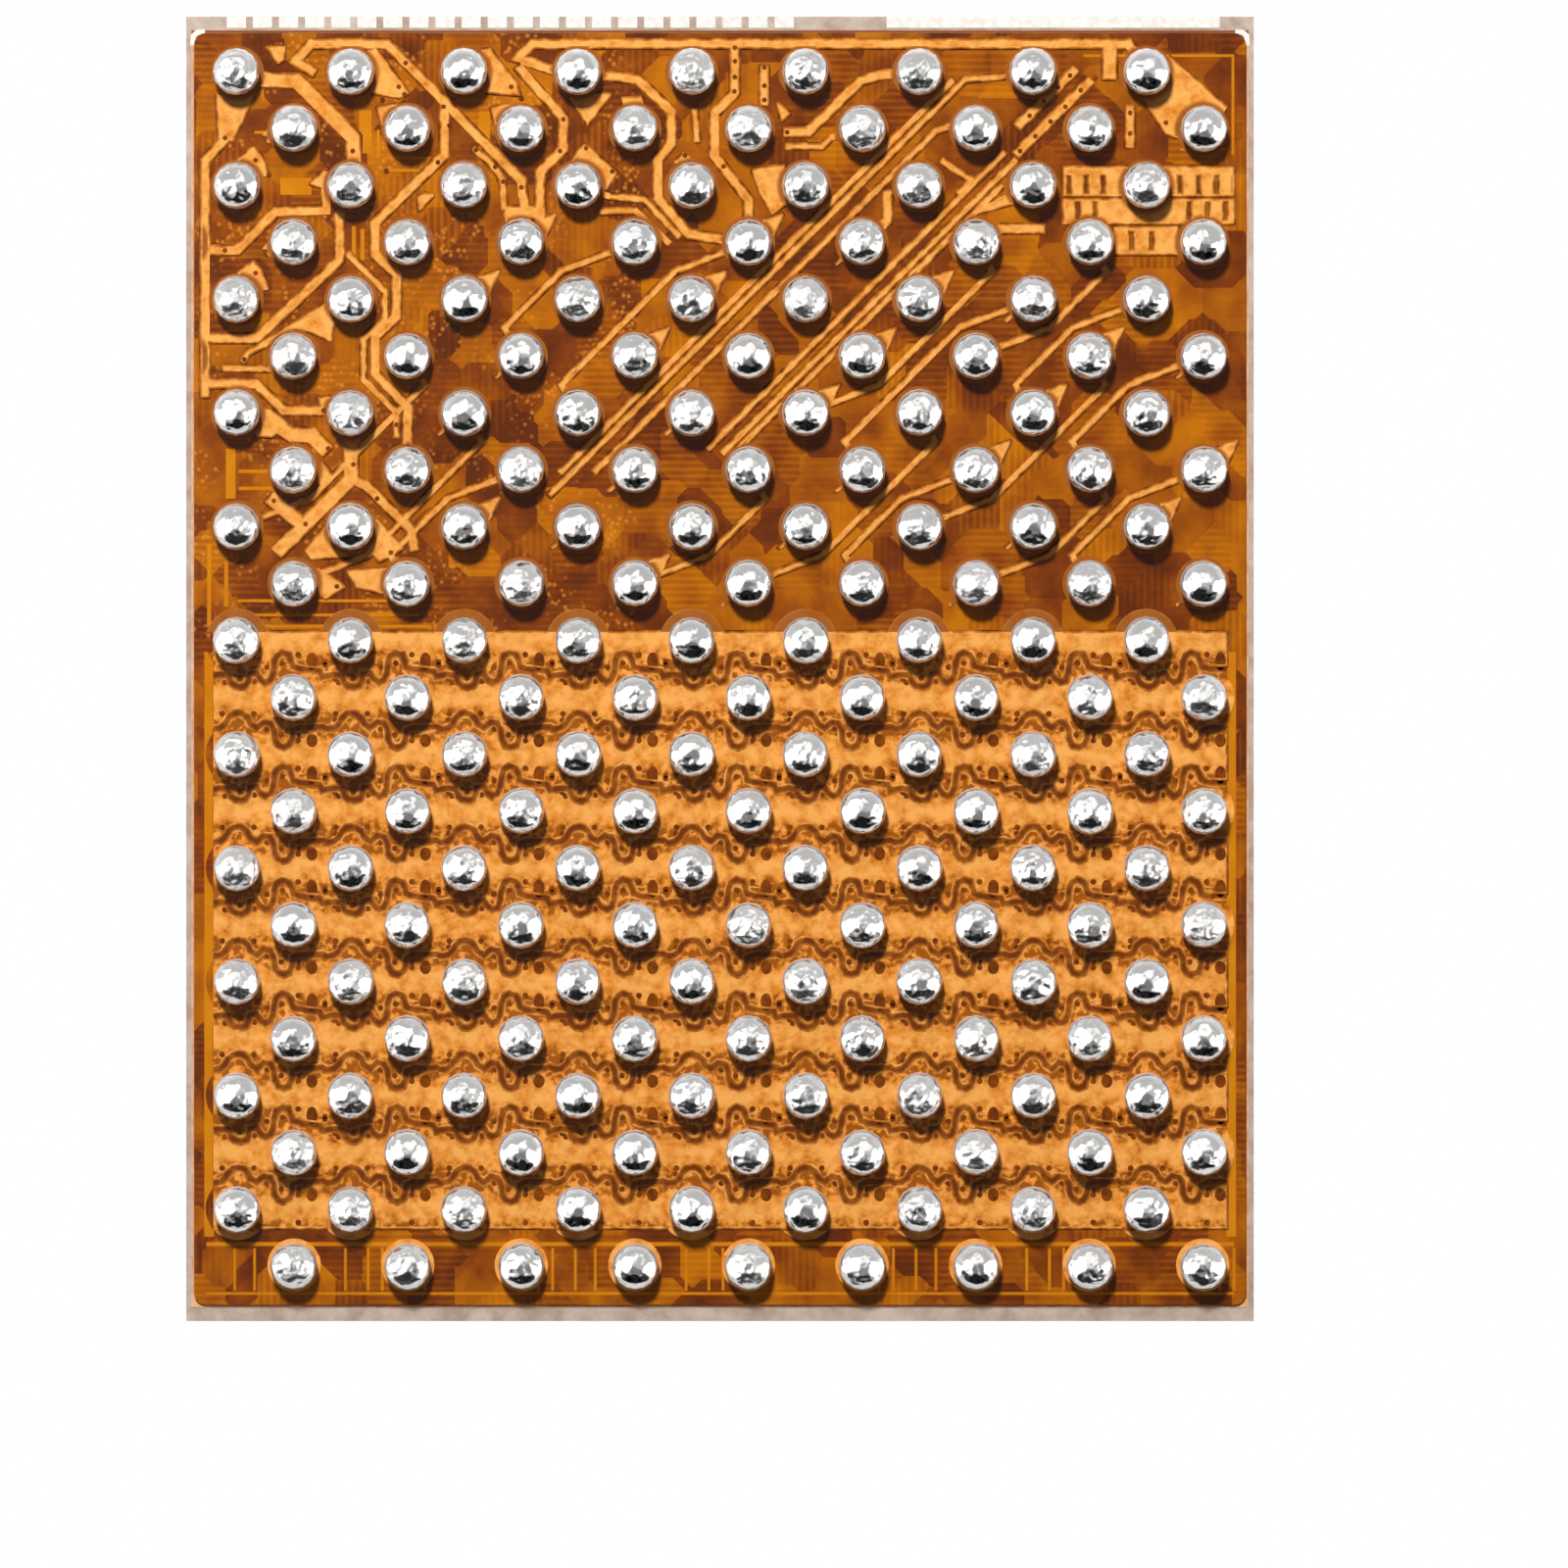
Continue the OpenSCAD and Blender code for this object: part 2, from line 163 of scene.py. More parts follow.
@dataclass(frozen=True)
class ReflowedSolder(Finish):
    """Tin-silver-copper solder, frozen after reflow: a bright crown with soft dents and grain.

    Each ball froze on its own, so its tone attribute sets how rough its skin is. The flanks
    below the shoulder keep a pale skin of oxide and flux, and mirror less.
    """

    dent: float = 0.08
    dent_depth: float = 12.0
    dent_strength: tuple[float, float] = (0.4, 1.0)
    grain_finer: float = 1.7
    grain_share: float = 1.3
    roughness_spread: tuple[float, float] = (0.7, 2.2)
    shoulder: tuple[float, float] = (0.0, 0.0)
    flank_metal: float = 0.4

    def shade(self, tree: bpy.types.NodeTree, shader: bpy.types.Node) -> None:
        """Draw soft dents about as wide as dent, in mm, and the pale skin of the flanks.

        Args:
            tree: the material's node tree.
            shader: its Principled shader.
        """
        at = self.millimetres(tree)
        dents = add_node(tree, "TexVoronoi",
                         {"Vector": at, "Scale": 1 / self.dent, "Smoothness": 0.9},
                         feature="SMOOTH_F1")
        grain = add_node(tree, "TexNoise", {"Vector": at, "Scale": self.grain_finer / self.dent,
                                            "Detail": 0.6})
        relief = add_node(tree, "Math", {0: grain.outputs[0], 1: self.grain_share,
                                         2: dents.outputs[0]}, operation="MULTIPLY_ADD")
        tone = add_node(tree, "Attribute", attribute_name="tone").outputs["Fac"]
        low, high = self.dent_strength
        depth = add_node(tree, "MapRange", {0: tone, 3: low, 4: high}).outputs[0]
        bump = add_node(tree, "Bump", {"Height": relief.outputs[0], "Strength": depth,
                                       "Distance": self.dent_depth * UM})
        low, high = (self.roughness * part for part in self.roughness_spread)
        dull = add_node(tree, "MapRange", {0: tone, 3: low, 4: high})
        height = add_node(tree, "SeparateXYZ", {0: at}).outputs[2]
        metal = add_node(tree, "MapRange", {0: height, 1: self.shoulder[0] / MM,
                                            2: self.shoulder[1] / MM, 3: self.flank_metal})
        tree.links.new(bump.outputs[0], shader.inputs["Normal"])
        tree.links.new(dull.outputs[0], shader.inputs["Roughness"])
        tree.links.new(metal.outputs[0], shader.inputs["Metallic"])


@dataclass(frozen=True)
class CuredPolyimide(Finish):
    """Spun and cured amber polyimide over copper: glossy, bright over the copper below it.

    Over a trace it stands at the ridge level and the copper shines through it. Between the
    traces the chip's own top metal shows through it, as faint stripes in patches. In the rows
    of the supply bands the copper is darker half-way between two rows of balls. A brown ring
    of painted shade lies round the foot of each signal ball.

    The widths patch, stripe and speck are in mm. The counts of clouds, clusters, mottles and
    waves are how many fit in a mm: 0.18, 0.29, 0.06 and 0.045 mm each.
    """

    over_copper: str = "#fbb15a"
    copper_mid: str = "#e38d34"
    copper_dim: str = "#9c5410"
    # Painted shade round the foot of each signal ball.
    ball_shade_colour: str = "#8a4612"
    metal_glow: str = "#c67409"
    metal_mid: str = "#a65908"
    metal_gap: str = "#5c2603"
    ridge_level: float = 0.0
    patch: float = 0.22
    stripe: float = 0.034
    speck: float = 0.032
    clouds: float = 5.5
    clusters: float = 3.4
    mottles: float = 16.0
    waves: float = 22.0
    wave_depth: float = 2.0
    ball: tuple[float, float] = (0.0, 0.0)
    pitch: float = 1.0
    # Reach, strength and extent of the painted shade round the signal balls.
    ball_shade_reach: tuple[float, float] = (132 * UM, 150 * UM)
    ball_shade_share: float = 0.85
    ball_shade_past_ball: float = 0.33
    lobe_reach: float = 20 * UM
    lobe_zone: tuple[float, float] = (0.16, 0.2)
    specks_pitches: float = 5.0
    band_top: float = 0.0
    band_first: float = 0.0
    band_last: float = 0.0
    band_left: float = 0.0
    band_step: float = 1.0

    def stripes(self, tree: bpy.types.NodeTree, at: bpy.types.NodeSocket,
                where: bpy.types.Node) -> bpy.types.NodeSocket:
        """How bright the metal below shines through: patches, their stripes, and clouds.

        Args:
            tree: the material's node tree.
            at: the place in mm.
            where: the node that splits that place.

        Returns:
            The brightness, from 0 to 1.
        """
        cells = add_node(tree, "TexVoronoi", {"Vector": at, "Scale": 1 / self.patch},
                         distance="CHEBYCHEV", voronoi_dimensions="2D")
        kind = add_node(tree, "SeparateXYZ", {0: cells.outputs["Color"]})
        turn = add_node(tree, "Math", {0: kind.outputs[0], 1: 0.66}, operation="GREATER_THAN")
        along = add_node(tree, "Mix", {0: turn.outputs[0], 2: where.outputs[1],
                                       3: where.outputs[0]}, data_type="FLOAT").outputs[0]
        wave = add_node(tree, "Math", {0: along, 1: 2 * math.pi / self.stripe},
                        operation="MULTIPLY")
        wave = add_node(tree, "Math", {0: wave.outputs[0]}, operation="SINE")
        lines = add_node(tree, "MapRange", {0: wave.outputs[0], 1: -0.35, 2: 0.75, 3: -0.5,
                                            4: 0.5})
        shown = add_node(tree, "MapRange", {0: kind.outputs[1], 1: 0.2, 2: 0.95, 3: 0.02,
                                            4: 0.22})
        cloud = add_node(tree, "TexNoise", {"Vector": at, "Scale": self.clouds, "Detail": 5.0})
        level = add_node(tree, "MapRange", {0: cloud.outputs[0], 1: 0.3, 2: 0.7, 3: -0.12,
                                            4: 0.42})
        patch = add_node(tree, "MapRange", {0: kind.outputs[2], 1: 0.1, 2: 0.95, 3: 0.0,
                                            4: 0.62})
        level = add_node(tree, "Math", {0: level.outputs[0], 1: patch.outputs[0]})
        return add_node(tree, "Math", {0: lines.outputs[0], 1: shown.outputs[0],
                                       2: level.outputs[0]}, operation="MULTIPLY_ADD").outputs[0]

    def band_shade(self, tree: bpy.types.NodeTree, where: bpy.types.Node) -> bpy.types.NodeSocket:
        """How much darker the supply bands are, in waves as long as the step between two rows.

        Args:
            tree: the material's node tree.
            where: the node that splits the place in mm.

        Returns:
            The shade: 1 half-way between two rows of balls, 0 at them and past the bands.
        """
        y = where.outputs[1]
        turns = add_node(tree, "MapRange", {0: y, 1: self.band_first / MM,
                                            2: (self.band_first - self.band_step) / MM, 4: math.pi},
                         clamp=False)
        wave = add_node(tree, "Math", {0: turns.outputs[0]}, operation="SINE")
        wave = add_node(tree, "Math", {0: wave.outputs[0], 1: 2.0}, operation="POWER")
        above = add_node(tree, "Math", {0: y, 1: self.band_first / MM}, operation="LESS_THAN")
        below = add_node(tree, "Math", {0: y, 1: self.band_last / MM}, operation="GREATER_THAN")
        inside = add_node(tree, "Math", {0: above.outputs[0], 1: below.outputs[0]},
                          operation="MULTIPLY")
        return add_node(tree, "Math", {0: wave.outputs[0], 1: inside.outputs[0]},
                        operation="MULTIPLY").outputs[0]

    def painted_ball_shade(self, tree: bpy.types.NodeTree, where: bpy.types.Node) -> bpy.types.NodeSocket:
        """How much painted shade shows round a signal ball: most next to it, 0 past its land.

        The balls are a square lattice turned by 45 degrees. In its own units, a place less the
        whole numbers nearest to it is the way from the nearest ball. The painted shade reaches
        further round the lobes that stand out of the first band.

        Args:
            tree: the material's node tree.
            where: the node that splits the place in mm.

        Returns:
            The painted shade's share of the colour.
        """
        place = add_node(tree, "TexCoord").outputs["Object"]
        place = add_node(tree, "VectorMath", {0: place, 1: (*self.ball, 0.0)}, operation="SUBTRACT")
        size = 1 / self.pitch
        place = add_node(tree, "Mapping", {"Vector": place.outputs[0], "Scale": (size, size, 0),
                                           "Rotation": (0, 0, math.pi / 4)})
        half = (0.5, 0.5, 0.0)
        place = add_node(tree, "VectorMath", {0: place.outputs[0], 1: half}, operation="ADD")
        place = add_node(tree, "VectorMath", {0: place.outputs[0]}, operation="FRACTION")
        away = add_node(tree, "VectorMath", {0: place.outputs[0], 1: half}, operation="DISTANCE")
        start, end = (self.band_top / MM + past for past in self.lobe_zone)
        wider = add_node(tree, "MapRange", {0: where.outputs[1], 1: start, 2: end,
                                            3: self.lobe_reach / self.pitch, 4: 0.0})
        away = add_node(tree, "Math", {0: away.outputs["Value"], 1: wider.outputs[0]},
                        operation="SUBTRACT")
        low, high = (reach / self.pitch for reach in self.ball_shade_reach)
        near = add_node(tree, "MapRange", {0: away.outputs[0], 1: low, 2: high,
                                           3: self.ball_shade_share, 4: 0.0})
        last = (self.ball[1] + self.ball_shade_past_ball * self.pitch) / MM
        within = add_node(tree, "Math", {0: where.outputs[1], 1: last}, operation="LESS_THAN")
        near = add_node(tree, "Math", {0: near.outputs[0], 1: within.outputs[0]},
                        operation="MULTIPLY")
        past = add_node(tree, "Math", {0: where.outputs[1], 1: self.band_top / MM},
                        operation="GREATER_THAN")
        return add_node(tree, "Math", {0: near.outputs[0], 1: past.outputs[0]},
                        operation="MULTIPLY").outputs[0]

    def raised(self, tree: bpy.types.NodeTree, where: bpy.types.Node) -> bpy.types.NodeSocket:
        """Where copper shows: above the ridge level, but not left of the supply bands.

        Args:
            tree: the material's node tree.
            where: the node that splits the place in mm.

        Returns:
            1 where it shows, and 0 elsewhere.
        """
        up = add_node(tree, "Math", {0: where.outputs[2], 1: self.ridge_level / MM},
                      operation="GREATER_THAN").outputs[0]
        beside = add_node(tree, "Math", {0: where.outputs[0], 1: self.band_left / MM},
                          operation="GREATER_THAN")
        past = add_node(tree, "Math", {0: where.outputs[1], 1: self.band_top / MM},
                        operation="GREATER_THAN")
        kept = add_node(tree, "Math", {0: beside.outputs[0], 1: past.outputs[0]},
                        operation="MAXIMUM")
        return add_node(tree, "Math", {0: up, 1: kept.outputs[0]}, operation="MULTIPLY").outputs[0]

    def specks(self, tree: bpy.types.NodeTree, at: bpy.types.NodeSocket,
               where: bpy.types.Node) -> bpy.types.NodeSocket:
        """How much the small metal vias show: in loose clusters among the signal lines.

        Args:
            tree: the material's node tree.
            at: the place in mm.
            where: the node that splits that place.

        Returns:
            The vias' share of the colour.
        """
        cells = add_node(tree, "TexVoronoi", {"Vector": at, "Scale": 1 / self.speck})
        dots = add_node(tree, "MapRange", {0: cells.outputs["Distance"], 1: 0.2, 2: 0.42, 3: 1.0,
                                           4: 0.0})
        cloud = add_node(tree, "TexNoise", {"Vector": at, "Scale": self.clusters, "Detail": 1.0})
        cluster = add_node(tree, "MapRange", {0: cloud.outputs[0], 1: 0.48, 2: 0.6, 4: 0.6})
        signal = add_node(tree, "Math", {0: where.outputs[1], 1: self.band_first / MM},
                          operation="GREATER_THAN")
        last = (self.ball[0] + self.specks_pitches * self.pitch) / MM
        left = add_node(tree, "Math", {0: where.outputs[0], 1: last}, operation="LESS_THAN")
        shown = add_node(tree, "Math", {0: cluster.outputs[0], 1: signal.outputs[0]},
                         operation="MULTIPLY")
        shown = add_node(tree, "Math", {0: shown.outputs[0], 1: left.outputs[0]},
                         operation="MULTIPLY")
        return add_node(tree, "Math", {0: dots.outputs[0], 1: shown.outputs[0]},
                        operation="MULTIPLY").outputs[0]

    def shade(self, tree: bpy.types.NodeTree, shader: bpy.types.Node) -> None:
        """Draw copper colour above the ridge level, and striped patches of metal below it.

        Args:
            tree: the material's node tree.
            shader: its Principled shader.
        """
        at = self.millimetres(tree)
        where = add_node(tree, "SeparateXYZ", {0: at})
        up = self.raised(tree, where)
        below = add_node(tree, "ValToRGB", {0: self.stripes(tree, at, where)},
                         stops=[(0.0, self.metal_gap), (1.0, self.metal_glow), (0.3, self.base),
                                (0.62, self.metal_mid)])
        below = add_node(tree, "Mix", {0: self.specks(tree, at, where), 6: below.outputs[0],
                                       7: linear(self.copper_mid)}, data_type="RGBA")
        grain = add_node(tree, "TexNoise", {"Vector": at, "Scale": self.mottles, "Detail": 5.0,
                                            "Roughness": 0.62})
        glow = add_node(tree, "MapRange", {0: grain.outputs[0], 1: 0.2, 2: 0.58})
        fine = add_node(tree, "TexNoise", {"Vector": at, "Scale": 1 / self.speck, "Detail": 2.0})
        fine = add_node(tree, "MapRange", {0: fine.outputs[0], 1: 0.36, 2: 0.62, 3: -1.3, 4: -0.2})
        glow = add_node(tree, "Math", {0: self.band_shade(tree, where), 1: fine.outputs[0],
                                       2: glow.outputs[0]}, operation="MULTIPLY_ADD")
        above = add_node(tree, "ValToRGB", {0: glow.outputs[0]},
                         stops=[(0.0, self.copper_dim), (1.0, self.over_copper),
                                (0.45, self.copper_mid)])
        # Painted shade round the foot of each signal ball, wider over the lobes by the first band.
        above = add_node(tree, "Mix", {0: self.painted_ball_shade(tree, where), 6: above.outputs[0],
                                       7: linear(self.ball_shade_colour)}, data_type="RGBA")
        colour = add_node(tree, "Mix", {0: up, 6: below.outputs[2], 7: above.outputs[2]},
                          data_type="RGBA")
        tree.links.new(colour.outputs[2], shader.inputs["Base Color"])
        wavy = add_node(tree, "TexNoise", {"Vector": at, "Scale": self.waves, "Detail": 2.0})
        bump = add_node(tree, "Bump", {"Height": wavy.outputs[0], "Strength": 0.5,
                                       "Distance": self.wave_depth * UM})
        tree.links.new(bump.outputs[0], shader.inputs["Normal"])


@dataclass(frozen=True)
class PolyimideSlope(Finish):
    """Polyimide where it falls from one level to another: bright at the top, dark at the foot.

    The piece's tone attribute says how bright each of its points is, from 0 to 1. Over the
    copper's edges the crest colour is a painted highlight on copper seen through the film,
    and the foot colour is film with no copper below, deepened by painted shade. Its grain is
    0.055 mm wide, which is 18 to a mm.
    """

    # Painted highlight on copper seen through the film, at the top of a slope.
    crest: str = "#ffb762"
    # Film without copper below, deepened by painted shade.
    foot: str = "#552403"
    grains: float = 18.0
    uneven: float = 0.3

    def shade(self, tree: bpy.types.NodeTree, shader: bpy.types.Node) -> None:
        """Colour by the tone between the foot and the crest, broken up by fine grain.

        Args:
            tree: the material's node tree.
            shader: its Principled shader.
        """
        at = self.millimetres(tree)
        part = add_node(tree, "Attribute", attribute_name="tone").outputs["Fac"]
        grain = add_node(tree, "TexNoise", {"Vector": at, "Scale": self.grains, "Detail": 4.0})
        shift = add_node(tree, "MapRange", {0: grain.outputs[0], 1: 0.3, 2: 0.7,
                                            3: -self.uneven, 4: self.uneven})
        level = add_node(tree, "Math", {0: part, 1: shift.outputs[0]})
        colour = add_node(tree, "ValToRGB", {0: level.outputs[0]},
                          stops=[(0.0, self.foot), (1.0, self.crest), (0.5, self.base)])
        tree.links.new(colour.outputs[0], shader.inputs["Base Color"])


@dataclass(frozen=True)
class MottledFinish(Finish):
    """A finish whose colour drifts between two tones; cloud and grit are widths in mm."""

    other: str = "#808080"
    cloud: float = 0.3
    stretch: tuple[float, float, float] = (1, 1, 1)
    relief: float = 0.0
    grit: float = 0.01

    def shade(self, tree: bpy.types.NodeTree, shader: bpy.types.Node) -> None:
        """Draw clouds of the other tone, and a fine relief as deep as relief, in micrometres.

        Args:
            tree: the material's node tree.
            shader: its Principled shader.
        """
        at = self.millimetres(tree, self.stretch)
        cloud = add_node(tree, "TexNoise", {"Vector": at, "Scale": 1 / self.cloud, "Detail": 6.0,
                                            "Roughness": 0.6})
        part = add_node(tree, "MapRange", {0: cloud.outputs[0], 1: 0.36, 2: 0.64})
        colour = add_node(tree, "Mix", {0: part.outputs[0], 6: linear(self.base),
                                        7: linear(self.other)}, data_type="RGBA")
        tree.links.new(colour.outputs[2], shader.inputs["Base Color"])
        if self.relief:
            grit = add_node(tree, "TexNoise", {"Vector": at, "Scale": 1 / self.grit, "Detail": 3.0})
            bump = add_node(tree, "Bump", {"Height": grit.outputs[0], "Strength": 0.7,
                                           "Distance": self.relief * UM})
            tree.links.new(bump.outputs[0], shader.inputs["Normal"])


@dataclass(frozen=True)
class SkirtedRing(Finish):
    """The seal ring below a thin skirt of polyimide: pale peach, brown painted shade on the +Y
    side.

    Its grain is 0.05 mm wide, which is 20 to a mm.
    """

    mottled: str = "#d9965c"
    shaded: str = "#8a5026"
    shaded_from: float = 0.0
    grains: float = 20.0

    def shade(self, tree: bpy.types.NodeTree, shader: bpy.types.Node) -> None:
        """Draw peach with fine grain, and the shaded colour beyond shaded_from along Y.

        Args:
            tree: the material's node tree.
            shader: its Principled shader.
        """
        at = self.millimetres(tree)
        # Painted shade: brown past shaded_from along Y, below the polyimide's edge.
        beyond = add_node(tree, "Math", {0: add_node(tree, "SeparateXYZ", {0: at}).outputs[1],
                                         1: self.shaded_from / MM}, operation="GREATER_THAN")
        grain = add_node(tree, "TexNoise", {"Vector": at, "Scale": self.grains, "Detail": 4.0})
        part = add_node(tree, "MapRange", {0: grain.outputs[0], 1: 0.3, 2: 0.7})
        pale = add_node(tree, "Mix", {0: part.outputs[0], 6: linear(self.base),
                                      7: linear(self.mottled)}, data_type="RGBA")
        colour = add_node(tree, "Mix", {0: beyond.outputs[0], 6: pale.outputs[2],
                                        7: linear(self.shaded)}, data_type="RGBA")
        tree.links.new(colour.outputs[2], shader.inputs["Base Color"])


# ---------------------------------------------------------------- surfaces


def set_tone(piece: bpy.types.Object, tone: np.ndarray) -> None:
    """Give each point of a piece its tone, as an attribute that its finish reads."""
    made = piece.data.attributes.new("tone", "FLOAT", "POINT")
    made.data.foreach_set("value", tone.astype(np.float32))


@dataclass
class Surface:
    """Points with the quads and triangles between them, as whole arrays."""

    points: np.ndarray
    quads: np.ndarray
    triangles: np.ndarray

    @staticmethod
    def joined(parts: Sequence["Surface"]) -> "Surface":
        """Put several surfaces into one, each keeping its own points.

        Args:
            parts: the surfaces.

        Returns:
            The one surface.
        """
        starts = np.cumsum([0] + [len(p.points) for p in parts[:-1]])
        return Surface(
            np.concatenate([p.points for p in parts]),
            np.concatenate([p.quads + s for p, s in zip(parts, starts)]),
            np.concatenate([p.triangles + s for p, s in zip(parts, starts)]),
        )

    def repeated(self, places: np.ndarray, sizes: np.ndarray) -> "Surface":
        """Copies of this surface.

        Args:
            places: where each copy's origin goes, one row of three a copy.
            sizes: how much each copy is stretched along X, Y and Z.

        Returns:
            All copies as one surface: each is the points times its size, plus its place.
        """
        count = len(places)
        points = self.points[None] * sizes[:, None] + places[:, None]
        start = np.arange(count)[:, None, None] * len(self.points)
        return Surface(points.reshape(-1, 3), (self.quads[None] + start).reshape(-1, 4),
                       (self.triangles[None] + start).reshape(-1, 3))

    def piece(self, name: str, material: bpy.types.Material, slot: str,
              smooth: bool) -> bpy.types.Object:
        """Make the surface a Blender object that rides on the chip.

        Args:
            name: the piece's name.
            material: its finish.
            slot: the material slot of the record that it belongs to; not used.
            smooth: whether its faces are shaded smooth.

        Returns:
            The new object.
        """
        mesh = bpy.data.meshes.new(name)
        corners = np.concatenate([self.quads.ravel(), self.triangles.ravel()]).astype(np.int32)
        sizes = np.repeat([4, 3], [len(self.quads), len(self.triangles)]).astype(np.int32)
        mesh.vertices.add(len(self.points))
        mesh.vertices.foreach_set("co", self.points.astype(np.float32).ravel())
        mesh.loops.add(len(corners))
        mesh.loops.foreach_set("vertex_index", corners)
        mesh.polygons.add(len(sizes))
        mesh.polygons.foreach_set("loop_start", np.cumsum(sizes, dtype=np.int32) - sizes)
        mesh.polygons.foreach_set("use_smooth", np.full(len(sizes), smooth))
        mesh.update(calc_edges=True)
        mesh.validate()
        mesh.materials.append(material)
        made = bpy.data.objects.new(name, mesh)
        bpy.context.scene.collection.objects.link(made)
        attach(made, BODY)
        return made


def turned(profile: np.ndarray, sides: int) -> Surface:
    """Turn a profile about Z.

    The surface is (r cos a, r sin a, z) for each profile point (r, z), from the lowest to the
    highest, and for sides even steps of the angle a. Fans close it at both ends.

    Args:
        profile: one row of radius and height a ring, with both ends off the axis.
        sides: number of steps round the axis.

    Returns:
        The closed surface.
    """
    angle = np.linspace(0, 2 * np.pi, sides, endpoint=False)
    ring = np.stack([np.cos(angle), np.sin(angle)], axis=1)
    rings = len(profile)
    body = np.concatenate([
        profile[:, None, :1] * ring[None],
        np.broadcast_to(profile[:, None, 1:], (rings, sides, 1)),
    ], axis=2).reshape(-1, 3)
    ends = np.array([[0, 0, profile[0, 1]], [0, 0, profile[-1, 1]]])
    here = np.arange(sides)
    after = (here + 1) % sides
    low = (np.arange(rings - 1) * sides)[:, None]
    quads = np.stack([low + here, low + after, low + sides + after, low + sides + here], axis=2)
    bottom = np.stack([np.full(sides, len(body)), after, here], axis=1)
    top = np.stack([np.full(sides, len(body) + 1), here, after], axis=1)
    top[:, 1:] += (rings - 1) * sides
    return Surface(np.concatenate([body, ends]), quads.reshape(-1, 4),
                   np.concatenate([bottom, top]))


def disc(radius: float, low: float, high: float, sides: int, top: float = 0.86) -> Surface:
    """A closed disc from height low to height high, whose top is top times as wide."""
    return turned(np.array([[radius, low], [radius * top, high]]), sides)


def swept(route: np.ndarray, section: Sequence[tuple[float, float]]) -> Surface:
    """A closed section carried along a route.

    A section point at distance d aside and height z goes to p + d m for each route point p,
    where m is the mitre there: the sum of the two side directions that meet, over one plus
    their product.

    Args:
        route: the route's points, one row of X and Y each.
        section: distance to the left and height of each section point, clockwise as seen
            along the route.

    Returns:
        The closed surface.
    """
    step = np.diff(route, axis=0)
    step /= np.linalg.norm(step, axis=1, keepdims=True)
    side = np.stack([-step[:, 1], step[:, 0]], axis=1)
    before, after = np.vstack([side[:1], side]), np.vstack([side, side[-1:]])
    mitre = (before + after) / (1 + (before * after).sum(1, keepdims=True))
    count, turns = len(route), len(section)
    points = np.stack([np.column_stack([route + mitre * d, np.full(count, z)])
                       for d, z in section], axis=1)
    here = (np.arange(count - 1) * turns)[:, None]
    k = np.arange(turns)
    after_k = (k + 1) % turns
    quads = np.stack([here + k, here + turns + k, here + turns + after_k, here + after_k], axis=2)
    fan = np.stack([np.zeros(turns - 2, int), k[1:-1], k[2:]], axis=1)
    ends = np.concatenate([fan, fan[:, ::-1] + turns * (count - 1)])
    return Surface(points.reshape(-1, 3), quads.reshape(-1, 4), ends)


def ribbon(route: np.ndarray, width: float, low: float, high: float) -> Surface:
    """A flat closed strip of one width along a route, from height low to height high."""
    half = width / 2
    return swept(route, [(half, low), (-half, low), (-half, high), (half, high)])


def mesh_arrays(node: bpy.types.Object) -> tuple[np.ndarray, np.ndarray]:
    """Read a node's mesh.

    Args:
        node: the node, whose mesh stays as it is.

    Returns:
        Its points as rows of X, Y and Z, and its triangles as rows of three point numbers.
    """
    mesh = node.data
    mesh.calc_loop_triangles()
    points = np.empty(len(mesh.vertices) * 3)
    mesh.vertices.foreach_get("co", points)
    triangles = np.empty(len(mesh.loop_triangles) * 3, np.int64)
    mesh.loop_triangles.foreach_get("vertices", triangles)
    return points.reshape(-1, 3), triangles.reshape(-1, 3)


def outlines(node: bpy.types.Object, level: float) -> tuple[np.ndarray, np.ndarray]:
    """Find the outlines of a node's flat faces at one level.

    Points that share a place become one. An edge that only one face uses, in its own
    direction, is on an outline, and has that face on its left.

    Args:
        node: the node whose faces are read.
        level: height of the faces.

    Returns:
        The points as rows of X and Y, and the outline edges as rows of two point numbers.
    """
    level_room, same_place = 0.2 * UM, 0.05 * UM
    points, triangles = mesh_arrays(node)
    flat = np.abs(points[triangles][:, :, 2] - level).max(axis=1) < level_room
    places = np.round(points[:, :2] / same_place).astype(np.int64)
    keys, first, number = np.unique(places, axis=0, return_index=True, return_inverse=True)
    triangles = number.ravel()[triangles[flat]]
    edges = np.concatenate([triangles[:, [0, 1]], triangles[:, [1, 2]], triangles[:, [2, 0]]])
    code = edges[:, 0] * len(keys) + edges[:, 1]
    back = edges[:, 1] * len(keys) + edges[:, 0]
    lone = ~np.isin(code, back) & (edges[:, 0] != edges[:, 1])
    return points[first, :2], edges[lone]


# ---------------------------------------------------------------- the chip's measures


